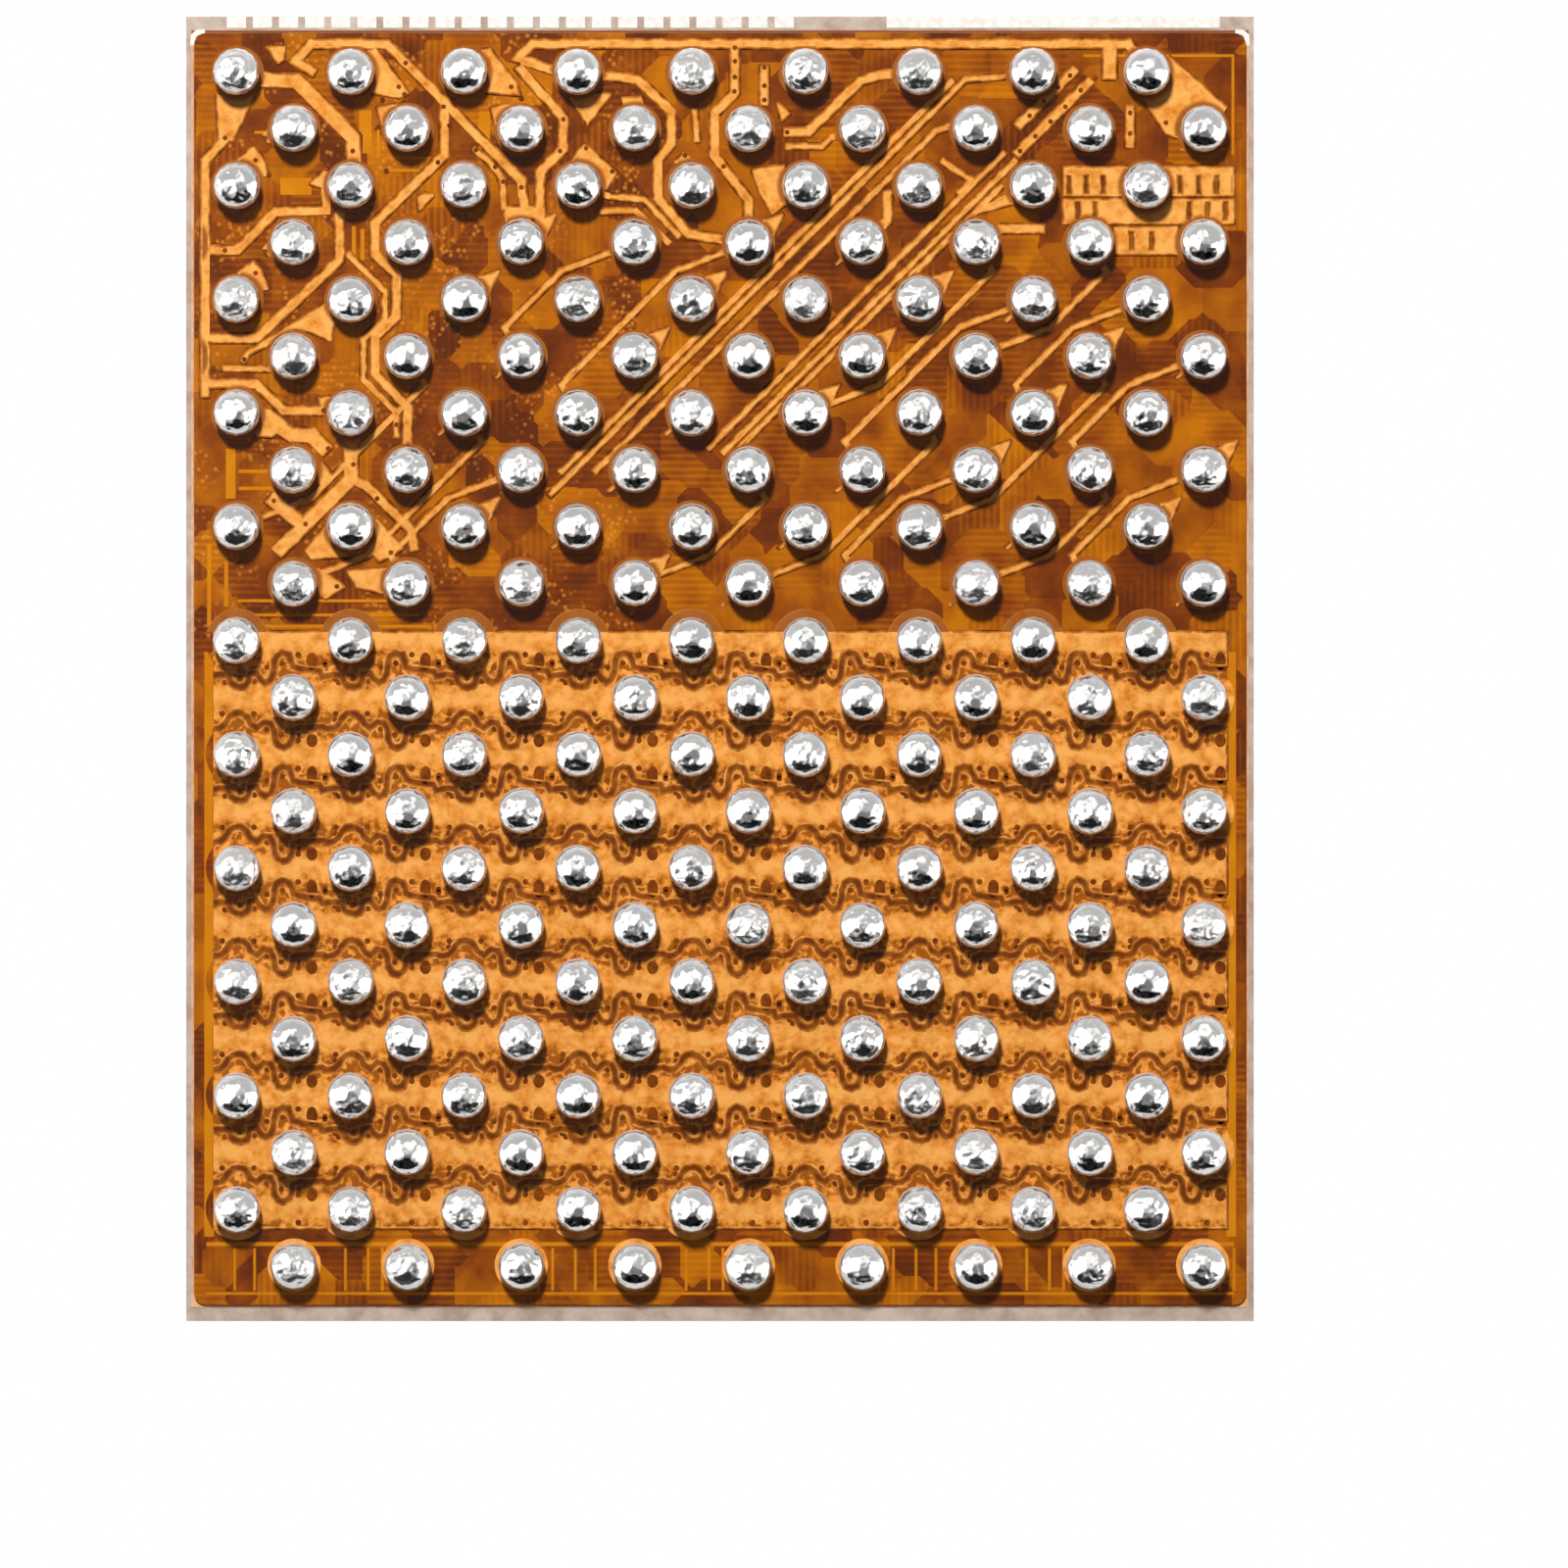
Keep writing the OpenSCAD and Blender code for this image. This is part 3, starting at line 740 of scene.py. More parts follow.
@dataclass(frozen=True)
class Grid:
    """The staggered ball grid, and the levels of the layers, as the frame has them."""

    left: float
    top: float
    step: float
    rows: tuple[str, ...]
    columns: int
    ball_radius: float
    seat_z: float
    crown_z: float
    fill_z: float
    ridge_z: float

    @classmethod
    def from_frame(cls) -> "Grid":
        """Measure the grid on the frame's own nodes.

        Returns:
            The grid, with its rows from the +Y end and the cover polyimide's two top levels.
        """
        level_step = 0.1 * UM
        rows = tuple(n for n in frame["nodes"] if n.startswith("solder_balls_row_"))
        boxes = {n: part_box(n) for n in rows}
        rows = tuple(sorted(rows, key=lambda n: -boxes[n][0].y))
        low, high = boxes[rows[0]]
        radius = (high.y - low.y) / 2
        bottom = boxes[rows[-1]][0]
        step = (low.y - bottom.y) / (len(rows) - 1)
        span = high.x - low.x - 2 * radius
        cover = mesh_arrays(frame["nodes"]["second_polyimide"])[0]
        levels = np.unique(np.round(cover[:, 2] / level_step)) * level_step
        return cls(left=low.x + radius, top=low.y + radius, step=step, rows=rows,
                   columns=round(span / step) + 2, ball_radius=radius, seat_z=low.z,
                   crown_z=high.z, fill_z=levels[-2], ridge_z=levels[-1])

    def place(self, points: Sequence[Sequence[float]] | np.ndarray) -> np.ndarray:
        """Turn grid places into metres.

        Args:
            points: columns to the right and rows down, counted from zero, in the last axis.

        Returns:
            X and Y in the last axis.
        """
        places = np.asarray(points, float)
        return np.stack([self.left + places[..., 0] * self.step,
                         self.top - places[..., 1] * self.step], axis=-1)

    def balls(self, row: int) -> np.ndarray:
        """Metres of the ball centres of one row."""
        across = np.arange(row % 2, self.columns, 2)
        return self.place(np.stack([across, np.full(len(across), row)], axis=1))


# ---------------------------------------------------------------- sub-assemblies


@dataclass
class SolderBalls:
    """The reflowed solder balls, one piece a row, each ball a little different."""

    grid: Grid
    material: bpy.types.Material
    sides: int = 16
    rings: int = 6
    wander: float = 2.0 * UM
    spread: float = 0.025
    flatness: float = 0.52
    tone_power: float = 1.2

    def ball(self) -> Surface:
        """Turn one ball on its seat.

        The profile is (R sin t, c - R cos t): a circle of radius R about a centre at height c,
        from the angle t where it meets the seat to just short of the crown.

        Returns:
            The ball, with its seat at height 0.
        """
        radius, height = self.grid.ball_radius, self.grid.crown_z - self.grid.seat_z
        centre = height - radius
        angle = np.linspace(math.acos(centre / radius), math.pi, self.rings + 1)[:-1]
        profile = np.stack([radius * np.sin(angle), centre - radius * np.cos(angle)], axis=1)
        body = turned(profile, self.sides)
        body.points[-1, 2] = height
        return body

    def flatten(self, piece: bpy.types.Object, ball: Surface, places: np.ndarray) -> None:
        """Shade the crown as a slightly sunk skin, which mirrors more of the sky above it.

        The normal of a point at (x, y, z) from the ball's centre is (f x, f y, z), made one
        long, for the flatness f. Below the centre it stays that of the ball.

        Args:
            piece: the row of balls.
            ball: the ball that it repeats.
            places: where the balls are.
        """
        height = self.grid.crown_z - self.grid.seat_z
        away = ball.points - (0, 0, height - self.grid.ball_radius)
        away[:, :2] *= np.where(away[:, 2:] > 0, self.flatness, 1.0)
        away /= np.linalg.norm(away, axis=1, keepdims=True)
        normals = np.tile(away, (len(places), 1))
        piece.data.normals_split_custom_set_from_vertices(normals.tolist())

    def build(self) -> list[bpy.types.Object]:
        """Make every row, each ball with its own place, size and tone.

        Returns:
            One piece a row, in place of the row's node.
        """
        rng = np.random.default_rng(SEED)
        ball = self.ball()
        made = []
        for row, node in enumerate(self.grid.rows):
            centres = self.grid.balls(row)
            count = len(centres)
            places = np.column_stack([centres + rng.uniform(-1, 1, (count, 2)) * self.wander,
                                      np.full(count, self.grid.seat_z)])
            sizes = 1 - rng.uniform(0, self.spread, (count, 3))
            name = node.replace("solder_balls", "reflowed_balls")
            piece = ball.repeated(places, sizes).piece(name, self.material, "solder", smooth=True)
            tone = rng.uniform(0, 1, count) ** self.tone_power
            set_tone(piece, np.repeat(tone, len(ball.points)))
            self.flatten(piece, ball, places)
            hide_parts(node)
            made.append(piece)
        return made


@dataclass
class CoverShoulders:
    """The sloped shoulders of the cover polyimide, where it falls from the copper's ridges."""

    grid: Grid
    material: bpy.types.Material
    run: float = 8 * UM
    inward: float = 10 * UM
    land: float = 152 * UM
    wide_land: float = 172 * UM
    bands: tuple[float, float] = (-0.43, 10.0)
    lobe_rows: float = 0.8

    def kept(self, middle: np.ndarray) -> np.ndarray:
        """Choose the outline edges that get a shoulder.

        Those round a ball's land get none, nor do those left of the supply bands.

        Args:
            middle: the edges' middles, as rows of X and Y.

        Returns:
            One truth value an edge.
        """
        grid = self.grid
        balls = np.concatenate([grid.balls(r) for r in range(len(grid.rows))])
        near = np.sqrt(((middle[:, None] - balls[None]) ** 2).sum(axis=2).min(axis=1))
        left, first = grid.place(self.bands)
        signal = middle[:, 1] > first
        lobes = middle[:, 1] < first + self.lobe_rows * grid.step
        clear = near > np.where(lobes, self.wide_land, self.land)
        return clear & (signal | (middle[:, 0] > left))

    def profile(self) -> list[tuple[float, float, float]]:
        """Profile of a shoulder, clockwise from its inner foot.

        Returns:
            Distance outward, height and tone of each point.
        """
        # The tones paint a highlight just inside the ridge's edge and shade down to its foot, on
        # top of the real change from film over copper to film alone.
        top, low = self.grid.ridge_z, self.grid.fill_z
        return [(-1.0 * UM, low, 0.5), (-self.inward, top + 0.04 * UM, 0.85),
                (-0.5 * self.inward, top + 0.2 * UM, 0.62), (0.0, top, 0.42),
                (0.6 * self.run, low + 0.35 * (top - low), 0.15),
                (self.run, low + 0.02 * UM, 0.1)]

    def build(self) -> bpy.types.Object:
        """Carry a rounded profile along every outline of the ridges.

        The profile's point at distance d and height z goes to p + d m for each outline point
        p, where m is the mitre of the outward directions of the outline edges that meet
        there. Fans close the profile where a run of edges starts or ends.

        Returns:
            The piece.
        """
        grid = self.grid
        points, edges = outlines(frame["nodes"]["second_polyimide"], grid.ridge_z)
        along = points[edges[:, 1]] - points[edges[:, 0]]
        out = np.stack([along[:, 1], -along[:, 0]], axis=1) / np.linalg.norm(along, axis=1)[:, None]
        kept = self.kept(points[edges].mean(axis=1))
        edges, out = edges[kept], out[kept]
        sums = np.zeros_like(points)
        np.add.at(sums, edges[:, 0], out)
        np.add.at(sums, edges[:, 1], out)
        used, edges = np.unique(edges, return_inverse=True)
        edges = edges.reshape(-1, 2)
        points, sums = points[used], sums[used]
        meeting = np.minimum(np.bincount(edges.ravel(), minlength=len(points)), 2)[:, None]
        mitre = meeting * sums / np.maximum((sums ** 2).sum(axis=1, keepdims=True), 1.0)
        profile = self.profile()
        rings = [np.column_stack([points + d * mitre, np.full(len(points), z)])
                 for d, z, _ in profile]
        count, turns = len(points), len(profile)
        k = np.arange(turns)[:, None] * count
        after = (np.arange(turns)[:, None] + 1) % turns * count
        a, b = edges[:, 0][None], edges[:, 1][None]
        quads = np.stack([k + a, after + a, after + b, k + b], axis=2).reshape(-1, 4)
        starts = np.setdiff1d(edges[:, 0], edges[:, 1])
        ends = np.setdiff1d(edges[:, 1], edges[:, 0])
        j = np.arange(1, turns - 1)[:, None] * count
        fans = ((starts[None], j + count + starts, j + starts),
                (ends[None], j + ends, j + count + ends))
        caps = np.concatenate([np.stack(np.broadcast_arrays(*fan), axis=2).reshape(-1, 3)
                               for fan in fans])
        surface = Surface(np.concatenate(rings), quads, caps)
        made = surface.piece("cover_shoulders", self.material, "polyimide", smooth=False)
        # Tones for the painted highlight and painted shade along the shoulders.
        set_tone(made, np.repeat([tone for _, _, tone in profile], len(points)))
        return made


@dataclass
class ViaDimples:
    """Small round dimples where a via joins a trace to the metal below it."""

    grid: Grid
    material: bpy.types.Material
    radius: float = 14 * UM
    sides: int = 8

    PLACES = (
        (-0.22, 1.15), (2.96, -0.17), (3.63, 0.6), (2.84, 0.25), (2.94, 0.38), (4.95, -0.15),
        (4.82, 0.25), (5, 0.45), (2.55, 0.48), (2.03, 1.38), (2.62, 1.73), (3.73, 0.93),
        (3.53, 1.58), (4.2, 1.36), (4.54, 1.66), (4.68, 1.92), (5.0, 2.02), (0.32, 1.54),
        (0.49, 1.15), (0.55, 1.79), (-0.22, 3.13), (0.32, 3.53), (0.57, 3.75), (0.49, 3.15),
        (8.76, -0.44), (8.76, -0.2), (8.76, 0.08), (8.75, 0.33), (9.28, -0.09), (9.28, 0.23),
        (9.28, 0.48), (6.1, 0.88), (6.14, 1.33), (6.6, 1.74), (5.74, 0.82), (5.68, 1.38),
        (8.56, 1.65), (7.88, 1.46), (5.2, 2.6), (9.68, 1.05), (16.35, 0.88), (15.72, 0.71),
        (15.72, 1.07), (15.1, 0.09), (14.85, 0.31), (14.58, 0.6), (14.32, 0.86), (14.05, 1.12),
        (13.78, 1.38), (14.66, 0.05), (14.45, 0.26), (14.2, 0.5), (13.95, 0.76), (-0.42, 5.2),
        (0.12, 5.05), (1.6, 6.62), (2.46, 7.5), (1.2, 7.95), (0.64, 7.54), (2.7, 8.45),
        (1.75, 9.05), (2.04, 6.9), (1.52, 5.95), (2.8, 6.2), (3, 6.6),
    )

    def build(self) -> bpy.types.Object:
        """Set a low disc on the ridges at every place.

        Returns:
            The piece.
        """
        spots = self.grid.place(self.PLACES)
        places = np.column_stack([spots, np.full(len(spots), self.grid.ridge_z)])
        shape = disc(self.radius, -0.5 * UM, 0.35 * UM, self.sides)
        surface = shape.repeated(places, np.ones_like(places))
        return surface.piece("via_dimples", self.material, "polyimide", smooth=False)


class BandMark(Enum):
    """What the supply bands carry between their balls."""

    DOT = "dot"
    SLOT = "slot"
    BRIDGE = "bridge"
    GAP = "gap"


@dataclass
class SupplyDetail:
    """The winding gaps of the supply bands, with the vias and slots beside them.

    Every part of it repeats with each ball of an even row. Places are counted from that ball,
    in columns and rows. A slot also has its width and length in steps of the grid, and each
    point of a gap's section has its tone.
    """

    grid: Grid
    finishes: dict[BandMark, bpy.types.Material]
    first_row: int = 10
    last_row: int = 20
    left: float = -0.42
    right: float = 17.42
    line: float = 15 * UM
    lip: float = 8 * UM
    dot: float = 16 * UM
    sunk: float = 0.5 * UM
    dot_rise: float = 0.9 * UM
    slot_rise: float = 0.5 * UM
    bridge: float = 0.29
    room: tuple[float, float] = (0.1, 0.3)

    DOTS = ((-0.46, 0.43), (0.04, 0.66), (0.79, 0.4), (1.07, 0.25), (1.54, 0.38), (0.52, 0.47),
            (-0.27, -0.71), (0.29, -0.71), (0.77, -0.34), (1.54, -0.42), (1.07, -0.24),
            (0.52, -0.44), (0.3, 0.72), (-0.22, 0.74), (1.72, 0.68), (1.72, -0.6))
    SLOTS = ((1.31, 0.37, 0.21, 0.34), (1.31, -0.24, 0.21, 0.25), (1.08, -0.36, 0.07, 0.22))
    GAP_TONES = (0.6, 0.6, 0.72, 0.5, 0.08, 0.08, 0.5, 0.72)
    GAP_BELOW = (
        (-0.42, 0.62), (-0.3, 0.6), (-0.16, 0.62), (-0.12, 0.73), (-0.04, 0.8), (0.06, 0.82),
        (0.15, 0.79), (0.2, 0.71), (0.22, 0.6), (0.34, 0.58), (0.4, 0.68), (0.49, 0.74),
        (0.58, 0.7), (0.63, 0.58), (0.65, 0.38), (0.69, 0.27), (0.79, 0.22), (0.9, 0.25),
        (0.95, 0.36), (0.98, 0.46), (1.1, 0.5), (1.45, 0.54), (1.5, 0.64),
    )
    GAP_ABOVE = (
        (-0.42, -0.44), (-0.3, -0.46), (-0.22, -0.53), (-0.16, -0.63), (-0.08, -0.7),
        (0.01, -0.72), (0.1, -0.7), (0.18, -0.63), (0.23, -0.53), (0.34, -0.46), (0.46, -0.56),
        (0.58, -0.54), (0.64, -0.42), (0.66, -0.25), (0.72, -0.15), (0.81, -0.12),
        (0.91, -0.16), (0.96, -0.27), (0.98, -0.42), (1.1, -0.47), (1.3, -0.46), (1.5, -0.48),
    )

    def cells(self) -> np.ndarray:
        """Find the balls that the detail repeats with.

        Returns:
            Grid places of the even rows' balls, each at the start of a two by two cell.
        """
        rows = np.arange(self.first_row, self.last_row + 1, 2)
        across = np.arange(0, self.grid.columns, 2)
        return np.stack(np.meshgrid(across, rows), axis=-1).reshape(-1, 2).astype(float)

    def marks(self, offset: tuple[float, float]) -> np.ndarray:
        """Find the places of one mark.

        Args:
            offset: columns and rows from the cell's ball to the mark.

        Returns:
            Its grid places in all cells, as far as they are well inside the bands.
        """
        spots = self.cells() + offset
        aside, past = self.room
        low, high = (self.left, self.first_row), (self.right - aside, self.last_row + past)
        return spots[np.all((spots > low) & (spots < high), axis=1)]

    def gap_route(self, gap: float) -> np.ndarray:
        """Lead the gap between two rows all along them.

        Args:
            gap: the row half-way between the two.

        Returns:
            The route's points in metres.
        """
        below = round(gap - 0.5) % 2 == 0
        row = gap - 0.5 if below else gap + 0.5
        cell = np.asarray(self.GAP_BELOW if below else self.GAP_ABOVE)
        starts = np.arange(0, self.grid.columns + 1, 2)
        balls = np.stack([starts, np.full(len(starts), row)], axis=1)
        route = (cell[None] + balls[:, None]).reshape(-1, 2)
        route = route[route[:, 0] < self.right]
        return self.grid.place(np.vstack([route, [self.right, route[-1, 1]]]))

    def gap_section(self) -> list[tuple[float, float]]:
        """Section of a gap: a dark floor between two low lips that run out level outside.

        Returns:
            Distance to the left and height of each point.
        """
        line, wide, inner = self.line, self.line + self.lip, 0.55 * self.line
        top = self.grid.ridge_z
        foot, crest, bed = top + 0.35 * UM, top + 1.3 * UM, top + 0.5 * UM
        return [(wide, top), (-wide, top), (-wide, foot), (-line, crest), (-inner, bed),
                (inner, bed), (line, crest), (wide, foot)]

    def build(self) -> list[bpy.types.Object]:
        """Make the bridges over the plain gaps, the winding gaps, the vias and the slots.

        Returns:
            One piece a kind of mark.
        """
        grid, top = self.grid, self.grid.ridge_z
        gaps = np.arange(self.first_row, self.last_row) + 0.5
        bridges = [ribbon(grid.place([(self.left, v), (self.right, v)]),
                          self.bridge * grid.step, top - 0.3 * UM, top + 0.25 * UM)
                   for v in gaps]
        winding = [swept(self.gap_route(v), self.gap_section()) for v in gaps]
        dots = np.concatenate([self.marks(d) for d in self.DOTS])
        dots = np.column_stack([grid.place(dots), np.full(len(dots), top)])
        dot = disc(self.dot, -self.sunk, self.dot_rise, 8)
        slot = disc(0.5, -self.sunk, self.slot_rise, 12, top=0.92)
        slots = []
        for u, v, width, length in self.SLOTS:
            spots = grid.place(self.marks((u, v)))
            sizes = np.tile([width * grid.step, length * grid.step, 1.0], (len(spots), 1))
            slots.append(slot.repeated(np.column_stack([spots, np.full(len(spots), top)]), sizes))
        made = {
            BandMark.DOT: dot.repeated(dots, np.ones_like(dots)),
            BandMark.SLOT: Surface.joined(slots),
            BandMark.BRIDGE: Surface.joined(bridges),
            BandMark.GAP: Surface.joined(winding),
        }
        pieces = {mark: surface.piece(f"band_{mark.value}s", self.finishes[mark], "polyimide",
                                      smooth=False) for mark, surface in made.items()}
        turns = len(made[BandMark.GAP].points) // len(self.GAP_TONES)
        set_tone(pieces[BandMark.GAP], np.tile(self.GAP_TONES, turns))
        return list(pieces.values())


@dataclass
class TopMetal:
    """Bars and frames of the chip's own top metal, which show through the polyimide.

    Each bar has a route of grid places and a width in steps of the grid.
    """

    grid: Grid
    material: bpy.types.Material
    thickness: float = 0.3 * UM
    sunk: float = 0.2 * UM
    foot_rows: tuple[float, float] = (20.7, 21.45)
    foot_width: float = 0.05
    foot_every: int = 3
    foot_room: float = 0.4

    BARS = (
        (((-0.12, 6.62), (-0.12, 7.5)), 0.17), (((0.02, 7.02), (0.6, 7.02)), 0.06),
        (((0.02, 7.32), (0.6, 7.32)), 0.06), (((-0.5, 8.3), (-0.5, 9.75)), 0.07),
        (((-0.2, 8.5), (-0.2, 9.4)), 0.07), (((0, 9.3), (3.2, 9.3)), 0.05),
        (((0, 9.55), (3.2, 9.55)), 0.05), (((-0.5, 9.75), (3.4, 9.75)), 0.05),
        (((2.25, 0.66), (2.25, 1.42)), 0.22), (((2.48, 1.0), (2.48, 1.5)), 0.05),
        (((2.6, 1.5), (3.4, 1.5)), 0.05), (((2.6, 1.72), (3.3, 1.72)), 0.05),
        (((4.35, 0.68), (4.35, 1.35)), 0.2), (((0.75, 2.0), (1.3, 2.0)), 0.3),
        (((2.05, 2.7), (2.05, 3.3)), 0.07), (((2.2, 2.75), (2.2, 3.3)), 0.07),
        (((0.7, 1.05), (0.3, 1.05)), 0.05),
        (((14.9, -0.3), (17.53, -0.3), (17.53, 1.44)), 0.05), (((16.6, 1.35), (17.4, 1.35)), 0.05),
        (((-0.55, 20.63), (17.55, 20.63)), 0.07), (((-0.55, 21.5), (17.55, 21.5)), 0.05),
        (((-0.5, 10.2), (-0.5, 20.5)), 0.17), (((17.5, 10.2), (17.5, 20.5)), 0.17),
    )
    FOOT_BARS = (-0.05, 0.3, 1.9, 2.3, 2.55)

    def build(self) -> bpy.types.Object:
        """Lay every bar on the polyimide between the ridges.

        Returns:
            The piece.
        """
        grid = self.grid
        low, high = grid.fill_z - self.sunk, grid.fill_z + self.thickness
        feet = [start + u for start in range(0, grid.columns, self.foot_every)
                for u in self.FOOT_BARS if start + u < grid.columns - self.foot_room]
        routes = [*self.BARS, *((tuple((u, v) for v in self.foot_rows), self.foot_width)
                                for u in feet)]
        bars = [ribbon(grid.place(route), width * grid.step, low, high) for route, width in routes]
        surface = Surface.joined(bars)
        return surface.piece("top_metal_bars", self.material, "polyimide", smooth=False)


@dataclass
class CornerFlecks:
    """Bare bright metal at the two corners beside the test pads, where the skirt is worn off.

    The bend's points are counted from the corner, in steps as long as reach.
    """

    material: bpy.types.Material
    width: float = 26 * UM
    reach: float = 62 * UM

    BEND = ((-0.12, -1.0), (-0.08, -0.25), (0.25, 0.06), (0.85, 0.1))

    def build(self) -> bpy.types.Object:
        """Lay a short bent strip round each of the two corners of the cover polyimide.

        Returns:
            The piece.
        """
        low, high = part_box("second_polyimide")
        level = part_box("seal_ring")[1].z
        parts = []
        for x, way in ((low.x, 1), (high.x, -1)):
            route = [(x + way * self.reach * a, high.y + self.reach * b) for a, b in self.BEND]
            parts.append(ribbon(np.array(route), self.width, level - 0.5 * UM, level + 0.4 * UM))
        surface = Surface.joined(parts)
        return surface.piece("corner_flecks", self.material, "pad_metal", smooth=False)


@dataclass
class Dressing:
    """Gives every node of the solid model its finish, by its material slot."""

    finishes: dict[str, bpy.types.Material]
    by_node: dict[str, bpy.types.Material]

    def apply(self) -> int:
        """Put the materials on the nodes.

        Returns:
            How many nodes were dressed.
        """
        slots = {part["node"]: part["material_slot"] for part in frame["record"]["subparts"]}
        for name, node in frame["nodes"].items():
            node.data.materials.clear()
            node.data.materials.append(self.by_node.get(name, self.finishes[slots[name]]))
        return len(frame["nodes"])


# ---------------------------------------------------------------- the studio


@dataclass(frozen=True)
class Lamp:
    """A soft round lamp, by where it stands in the sky and the share of light it gives."""

    name: str
    azimuth: float
    elevation: float
    share: float
    half_angle: float


@dataclass(frozen=True)
class Softbox:
    """A round patch of the surroundings that only gloss shows: lighter, or a dark flag."""

    azimuth: float
    elevation: float
    half_angle: float
    strength: float


@dataclass
class Studio:
    """Pale floor, soft lamps, surroundings for the reflections, and the camera.

    Heights in the sky are sines of the elevation. The horizon lights low flanks from all
    round, up to horizon_rise, and the ambient light is what the rest of the sky gives.
    """

    focus_z: float
    view_width: float = 7.81 * MM
    lens: float = 200.0
    sensor: float = 36.0
    off_centre: tuple[float, float] = (-0.0408, 0.0734)
    reach: float = 50 * MM
    ambient: float = 0.012
    horizon: float = 1.2
    horizon_rise: float = 0.26
    room_heights: tuple[float, float] = (0.1, 0.6)
    room_levels: tuple[float, float] = (0.95, 0.62)
    soft_edge: float = 6.0
    floor_half: float = 0.2
    floor_drop: float = 3 * UM

    LAMPS = (
        Lamp("key_lamp", 104, 53, 0.93, 4.1),
        Lamp("left_lamp", 190, 35, 0.012, 12.0),
        Lamp("right_lamp", 0, 30, 0.012, 12.0),
        Lamp("front_lamp", 270, 20, 0.016, 12.0),
    )
    SOFTBOXES = (
        Softbox(170, 62, 19.0, 1.5), Softbox(75, 66, 11.0, 0.7), Softbox(345, 48, 15.0, 1.5),
        Softbox(190, 25, 20.0, 0.9), Softbox(350, 18, 20.0, 0.9),
    )
    FLAGS = (
        Softbox(270, 47, 19.0, 0.97), Softbox(236, 38, 14.0, 0.94), Softbox(304, 38, 14.0, 0.94),
        Softbox(275, 74, 12.0, 0.6),
    )

    def floor(self) -> bpy.types.Object:
        """Lay a wide pale floor just below the chip, which shows as plain white to the camera.

        Returns:
            The floor.
        """
        half, z = self.floor_half, -self.floor_drop
        mesh = bpy.data.meshes.new("floor")
        corners = [(-half, -half, z), (half, -half, z), (half, half, z), (-half, half, z)]
        mesh.from_pydata(corners, [], [(0, 1, 2, 3)])
        material = bpy.data.materials.new("white_sweep_paper")
        material.use_nodes = True
        tree = material.node_tree
        tree.nodes.clear()
        paper = add_node(tree, "BsdfDiffuse", {"Color": linear("#f4f4f4")})
        white = add_node(tree, "Emission", {"Color": (1, 1, 1, 1), "Strength": 1.0})
        seen = add_node(tree, "LightPath").outputs["Is Camera Ray"]
        mixed = add_node(tree, "MixShader", {0: seen, 1: paper.outputs[0], 2: white.outputs[0]})
        add_node(tree, "OutputMaterial", {0: mixed.outputs[0]})
        mesh.materials.append(material)
        made = bpy.data.objects.new("floor", mesh)
        bpy.context.scene.collection.objects.link(made)
        return made

    def direction(self, azimuth: float, elevation: float) -> Vector:
        """Find the way to a place in the sky.

        Args:
            azimuth: degrees from +X towards +Y.
            elevation: degrees above the floor.

        Returns:
            The way there, one long.
        """
        a, e = math.radians(azimuth), math.radians(elevation)
        return Vector((math.cos(e) * math.cos(a), math.cos(e) * math.sin(a), math.sin(e)))

    def lamps(self) -> None:
        """Set up the lamps, whose shares and the ambient light add up to about one.

        A lamp of power P lights a level surface by P sin(elevation) / (pi reach^2), so a share s
        of the light at which a colour renders as written takes s pi^2 reach^2 / sin(elevation).
        """
        for lamp in self.LAMPS:
            light = bpy.data.lights.new(lamp.name, "AREA")
            light.shape = "DISK"
            light.size = 2 * self.reach * math.tan(math.radians(lamp.half_angle))
            light.energy = (lamp.share * math.pi ** 2 * self.reach ** 2
                            / math.sin(math.radians(lamp.elevation)))
            made = bpy.data.objects.new(lamp.name, light)
            way = self.direction(lamp.azimuth, lamp.elevation)
            made.location = way * self.reach
            made.rotation_euler = (-way).to_track_quat("-Z", "Y").to_euler()
            made.visible_glossy = False
            bpy.context.scene.collection.objects.link(made)

    def patch(self, tree: bpy.types.NodeTree, way: bpy.types.NodeSocket,
              box: Softbox) -> bpy.types.NodeSocket:
        """How strongly a softbox shows in each direction, with a soft edge round it.

        Args:
            tree: the world's node tree.
            way: the direction.
            box: the softbox or flag.

        Returns:
            Its strength inside it, and 0 past its soft edge.
        """
        middle = self.direction(box.azimuth, box.elevation)
        near = add_node(tree, "VectorMath", {0: way, 1: middle},
                        operation="DOT_PRODUCT").outputs["Value"]
        outer, inner = box.half_angle + self.soft_edge, box.half_angle
        return add_node(tree, "MapRange", {0: near, 1: math.cos(math.radians(outer)),
                                           2: math.cos(math.radians(inner)),
                                           4: box.strength}).outputs[0]

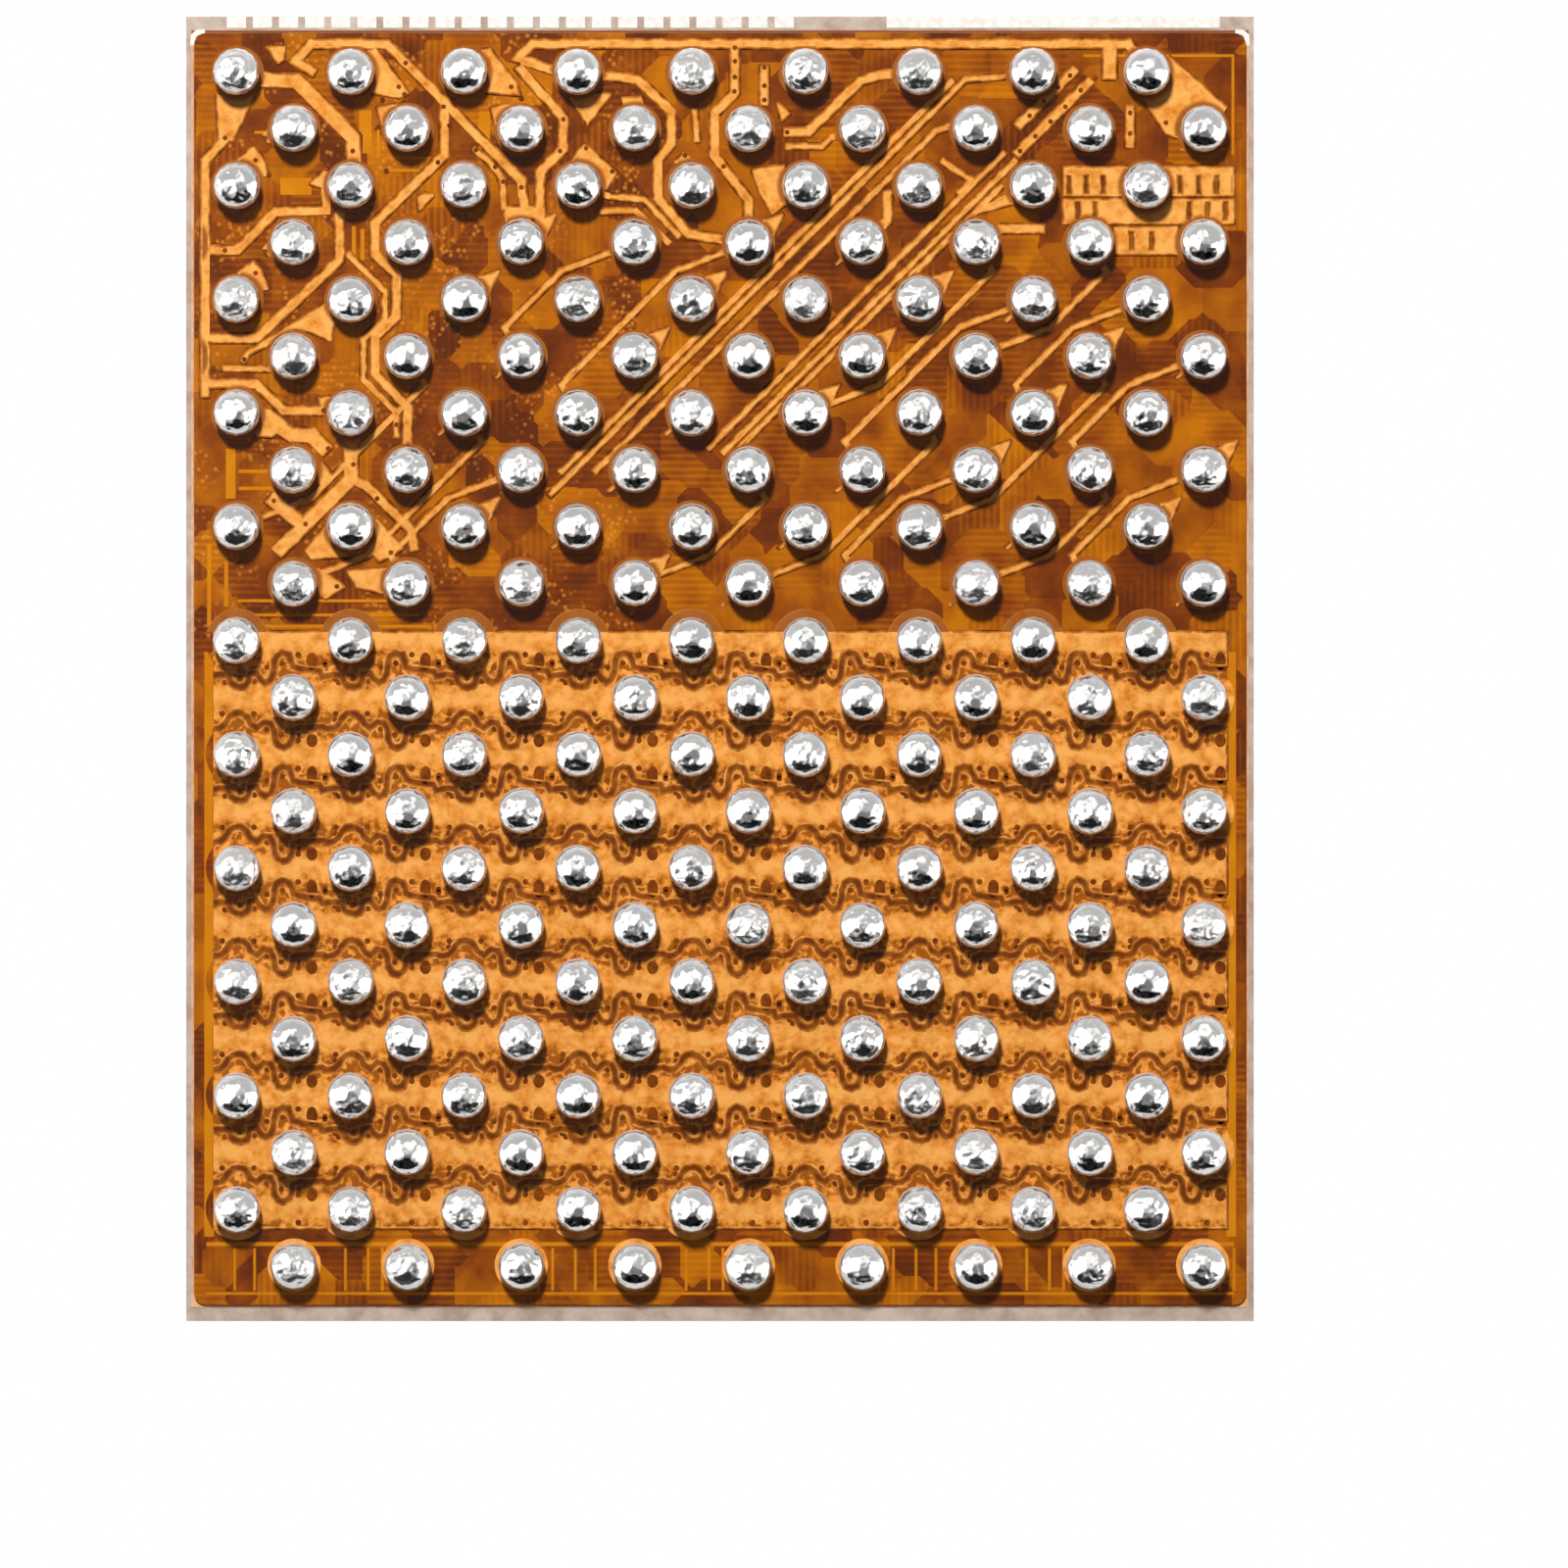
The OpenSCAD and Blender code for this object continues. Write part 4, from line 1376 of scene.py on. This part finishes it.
    def surroundings(self) -> None:
        """Set up the world: white to the camera, low light to surfaces, a room to the gloss.

        The room has the softboxes and flags. It shows only in a gloss that the camera sees,
        directly or in other gloss, so it adds no light to what a matt surface gathers.
        """
        world = bpy.data.worlds.new("studio")
        bpy.context.scene.world = world
        world.use_nodes = True
        tree = world.node_tree
        tree.nodes.clear()
        way = add_node(tree, "TexCoord").outputs["Generated"]
        height = add_node(tree, "SeparateXYZ", {0: way}).outputs[2]
        bounds = dict(enumerate((*self.room_heights, *self.room_levels), start=1))
        room = add_node(tree, "MapRange", {0: height, **bounds}).outputs[0]
        for box in self.SOFTBOXES:
            room = add_node(tree, "Math", {0: room, 1: self.patch(tree, way, box)}).outputs[0]
        for flag in self.FLAGS:
            left = add_node(tree, "Math", {0: 1.0, 1: self.patch(tree, way, flag)},
                            operation="SUBTRACT")
            room = add_node(tree, "Math", {0: room, 1: left.outputs[0]},
                            operation="MULTIPLY").outputs[0]
        low = add_node(tree, "MapRange", {0: height, 1: 0.0, 2: self.horizon_rise,
                                          3: self.horizon, 4: self.ambient}).outputs[0]
        rays = add_node(tree, "LightPath").outputs
        first = add_node(tree, "Math", {0: rays["Diffuse Depth"], 1: 0.5}, operation="LESS_THAN")
        shown = add_node(tree, "Math", {0: rays["Is Glossy Ray"], 1: first.outputs[0]},
                         operation="MULTIPLY").outputs[0]
        level = add_node(tree, "Mix", {0: shown, 2: low, 3: room}, data_type="FLOAT").outputs[0]
        level = add_node(tree, "Mix", {0: rays["Is Camera Ray"], 2: level, 3: 1.0},
                         data_type="FLOAT").outputs[0]
        light = add_node(tree, "Background", {"Color": (1, 1, 1, 1), "Strength": level})
        add_node(tree, "OutputWorld", {0: light.outputs[0]})

    def camera(self) -> None:
        """Look straight down through a long lens, with the chip a little off the centre."""
        data = bpy.data.cameras.new("camera")
        data.lens = self.lens
        data.sensor_width = self.sensor
        data.shift_x = -self.off_centre[0]
        data.shift_y = -self.off_centre[1]
        data.clip_start = 1 * MM
        data.clip_end = 10.0
        made = bpy.data.objects.new("camera", data)
        made.location = (0, 0, self.focus_z + self.view_width * self.lens / self.sensor)
        bpy.context.scene.collection.objects.link(made)
        bpy.context.scene.camera = made

    def build(self) -> None:
        """Set up the whole studio."""
        bpy.context.scene.view_settings.view_transform = "Standard"
        self.floor()
        self.lamps()
        self.surroundings()
        self.camera()


def main() -> None:
    """Dress the chip's nodes, build its visible pieces, then set up the studio."""
    logging.basicConfig(level=logging.INFO, format="%(name)s: %(message)s")
    grid = Grid.from_frame()
    LOG.info("grid: %d rows, %d columns, step %.4f mm", len(grid.rows), grid.columns,
             grid.step / MM)
    # A dark epoxy film, laminated and cured on the back: matt, faintly cloudy.
    film = MottledFinish("laminated_back_film", "#16191f", 0.46, other="#1c1c22", cloud=1.6,
                         relief=0.4, grit=0.012).material()
    # Silicon, sawn with a diamond blade: grey, with fine scratches along the cut.
    silicon = MottledFinish("sawn_silicon", "#6f6a68", 0.42, metallic=0.25, other="#8e8884",
                            cloud=0.05, stretch=(0.25, 0.25, 3.0), relief=1.5,
                            grit=0.008).material()
    # Oxide and thin metals of the bare saw street: pale pinkish grey, in soft patches.
    wiring = MottledFinish("passivated_oxide", "#ae9684", 0.4, other="#d0bdb0", cloud=0.12,
                           relief=0.8, grit=0.02).material()
    # Sputtered aluminium: bright, a little rough where the probe and the saw touched it.
    pads = MottledFinish("sputtered_aluminium", "#fffdf8", 0.5, other="#efe6da", cloud=0.03,
                         relief=1.0, grit=0.015).material()
    # Electroplated copper, seen only on edges.
    copper = MottledFinish("plated_copper", "#d98a4c", 0.35, metallic=1.0, other="#c97a3e",
                           cloud=0.05).material()
    # Spun polyimide, cured on copper: amber, clear enough to show the metal, faintly glossy.
    top, first, last = grid.place([(0, 9.85), (0, 10), (0, 20.4)])[:, 1]
    polyimide = CuredPolyimide("cured_polyimide", "#803a07", 0.3, gloss=0.2,
                               ridge_level=(grid.ridge_z + grid.fill_z) / 2,
                               ball=(grid.left, grid.top), pitch=grid.step * math.sqrt(2),
                               band_top=top, band_first=first, band_last=last,
                               band_left=grid.place((-0.425, 0))[0],
                               band_step=grid.step).material()
    # The same polyimide where it falls over the copper's edges: a painted highlight at the top,
    # painted shade at the dark foot.
    slopes = PolyimideSlope("polyimide_over_edges", "#bb6c1c", 0.3, gloss=0.2).material()
    gaps = PolyimideSlope("polyimide_in_gaps", "#b06419", 0.3, gloss=0.2, foot="#6b3106").material()
    # The same polyimide, sunk in a via: deep brown, because there is more of it.
    dimples = MottledFinish("polyimide_dimple", "#5d2803", 0.4, gloss=0.2, other="#8a4406",
                            cloud=0.05).material()
    # The chip's own top metal below the polyimide: plain orange, without a metal's gloss.
    bars = MottledFinish("metal_under_polyimide", "#c9760c", 0.34, gloss=0.2, other="#d68614",
                         cloud=0.2).material()
    # Tin-silver-copper solder, reflowed: a bright mirror crown above duller flanks.
    solder = ReflowedSolder("reflowed_solder", "#e4e2e0", 0.12, metallic=1.0,
                            shoulder=(grid.seat_z + 88 * UM, grid.seat_z + 118 * UM)).material()
    finishes = {"film": film, "silicon": silicon, "wiring": wiring, "pad_metal": pads,
                "polyimide": polyimide, "copper": copper, "solder": solder}
    # Aluminium under the thin edge of the polyimide: peach, and brown painted shade on the +Y side.
    ring = SkirtedRing("skirted_seal_ring", "#efc199", 0.4,
                       shaded_from=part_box("second_polyimide")[1].y - 2 * UM).material()
    LOG.info("dressed %d nodes", Dressing(finishes, {"seal_ring": ring}).apply())
    band_finishes = {BandMark.DOT: dimples, BandMark.SLOT: dimples, BandMark.BRIDGE: polyimide,
                     BandMark.GAP: gaps}
    for piece in SolderBalls(grid, solder).build():
        LOG.info("piece %s", piece.name)
    LOG.info("piece %s", CoverShoulders(grid, slopes).build().name)
    LOG.info("piece %s", ViaDimples(grid, dimples).build().name)
    for piece in SupplyDetail(grid, band_finishes).build():
        LOG.info("piece %s", piece.name)
    LOG.info("piece %s", TopMetal(grid, bars).build().name)
    LOG.info("piece %s", CornerFlecks(pads).build().name)
    Studio(focus_z=grid.ridge_z).build()


if __name__ == "__main__":
    main()
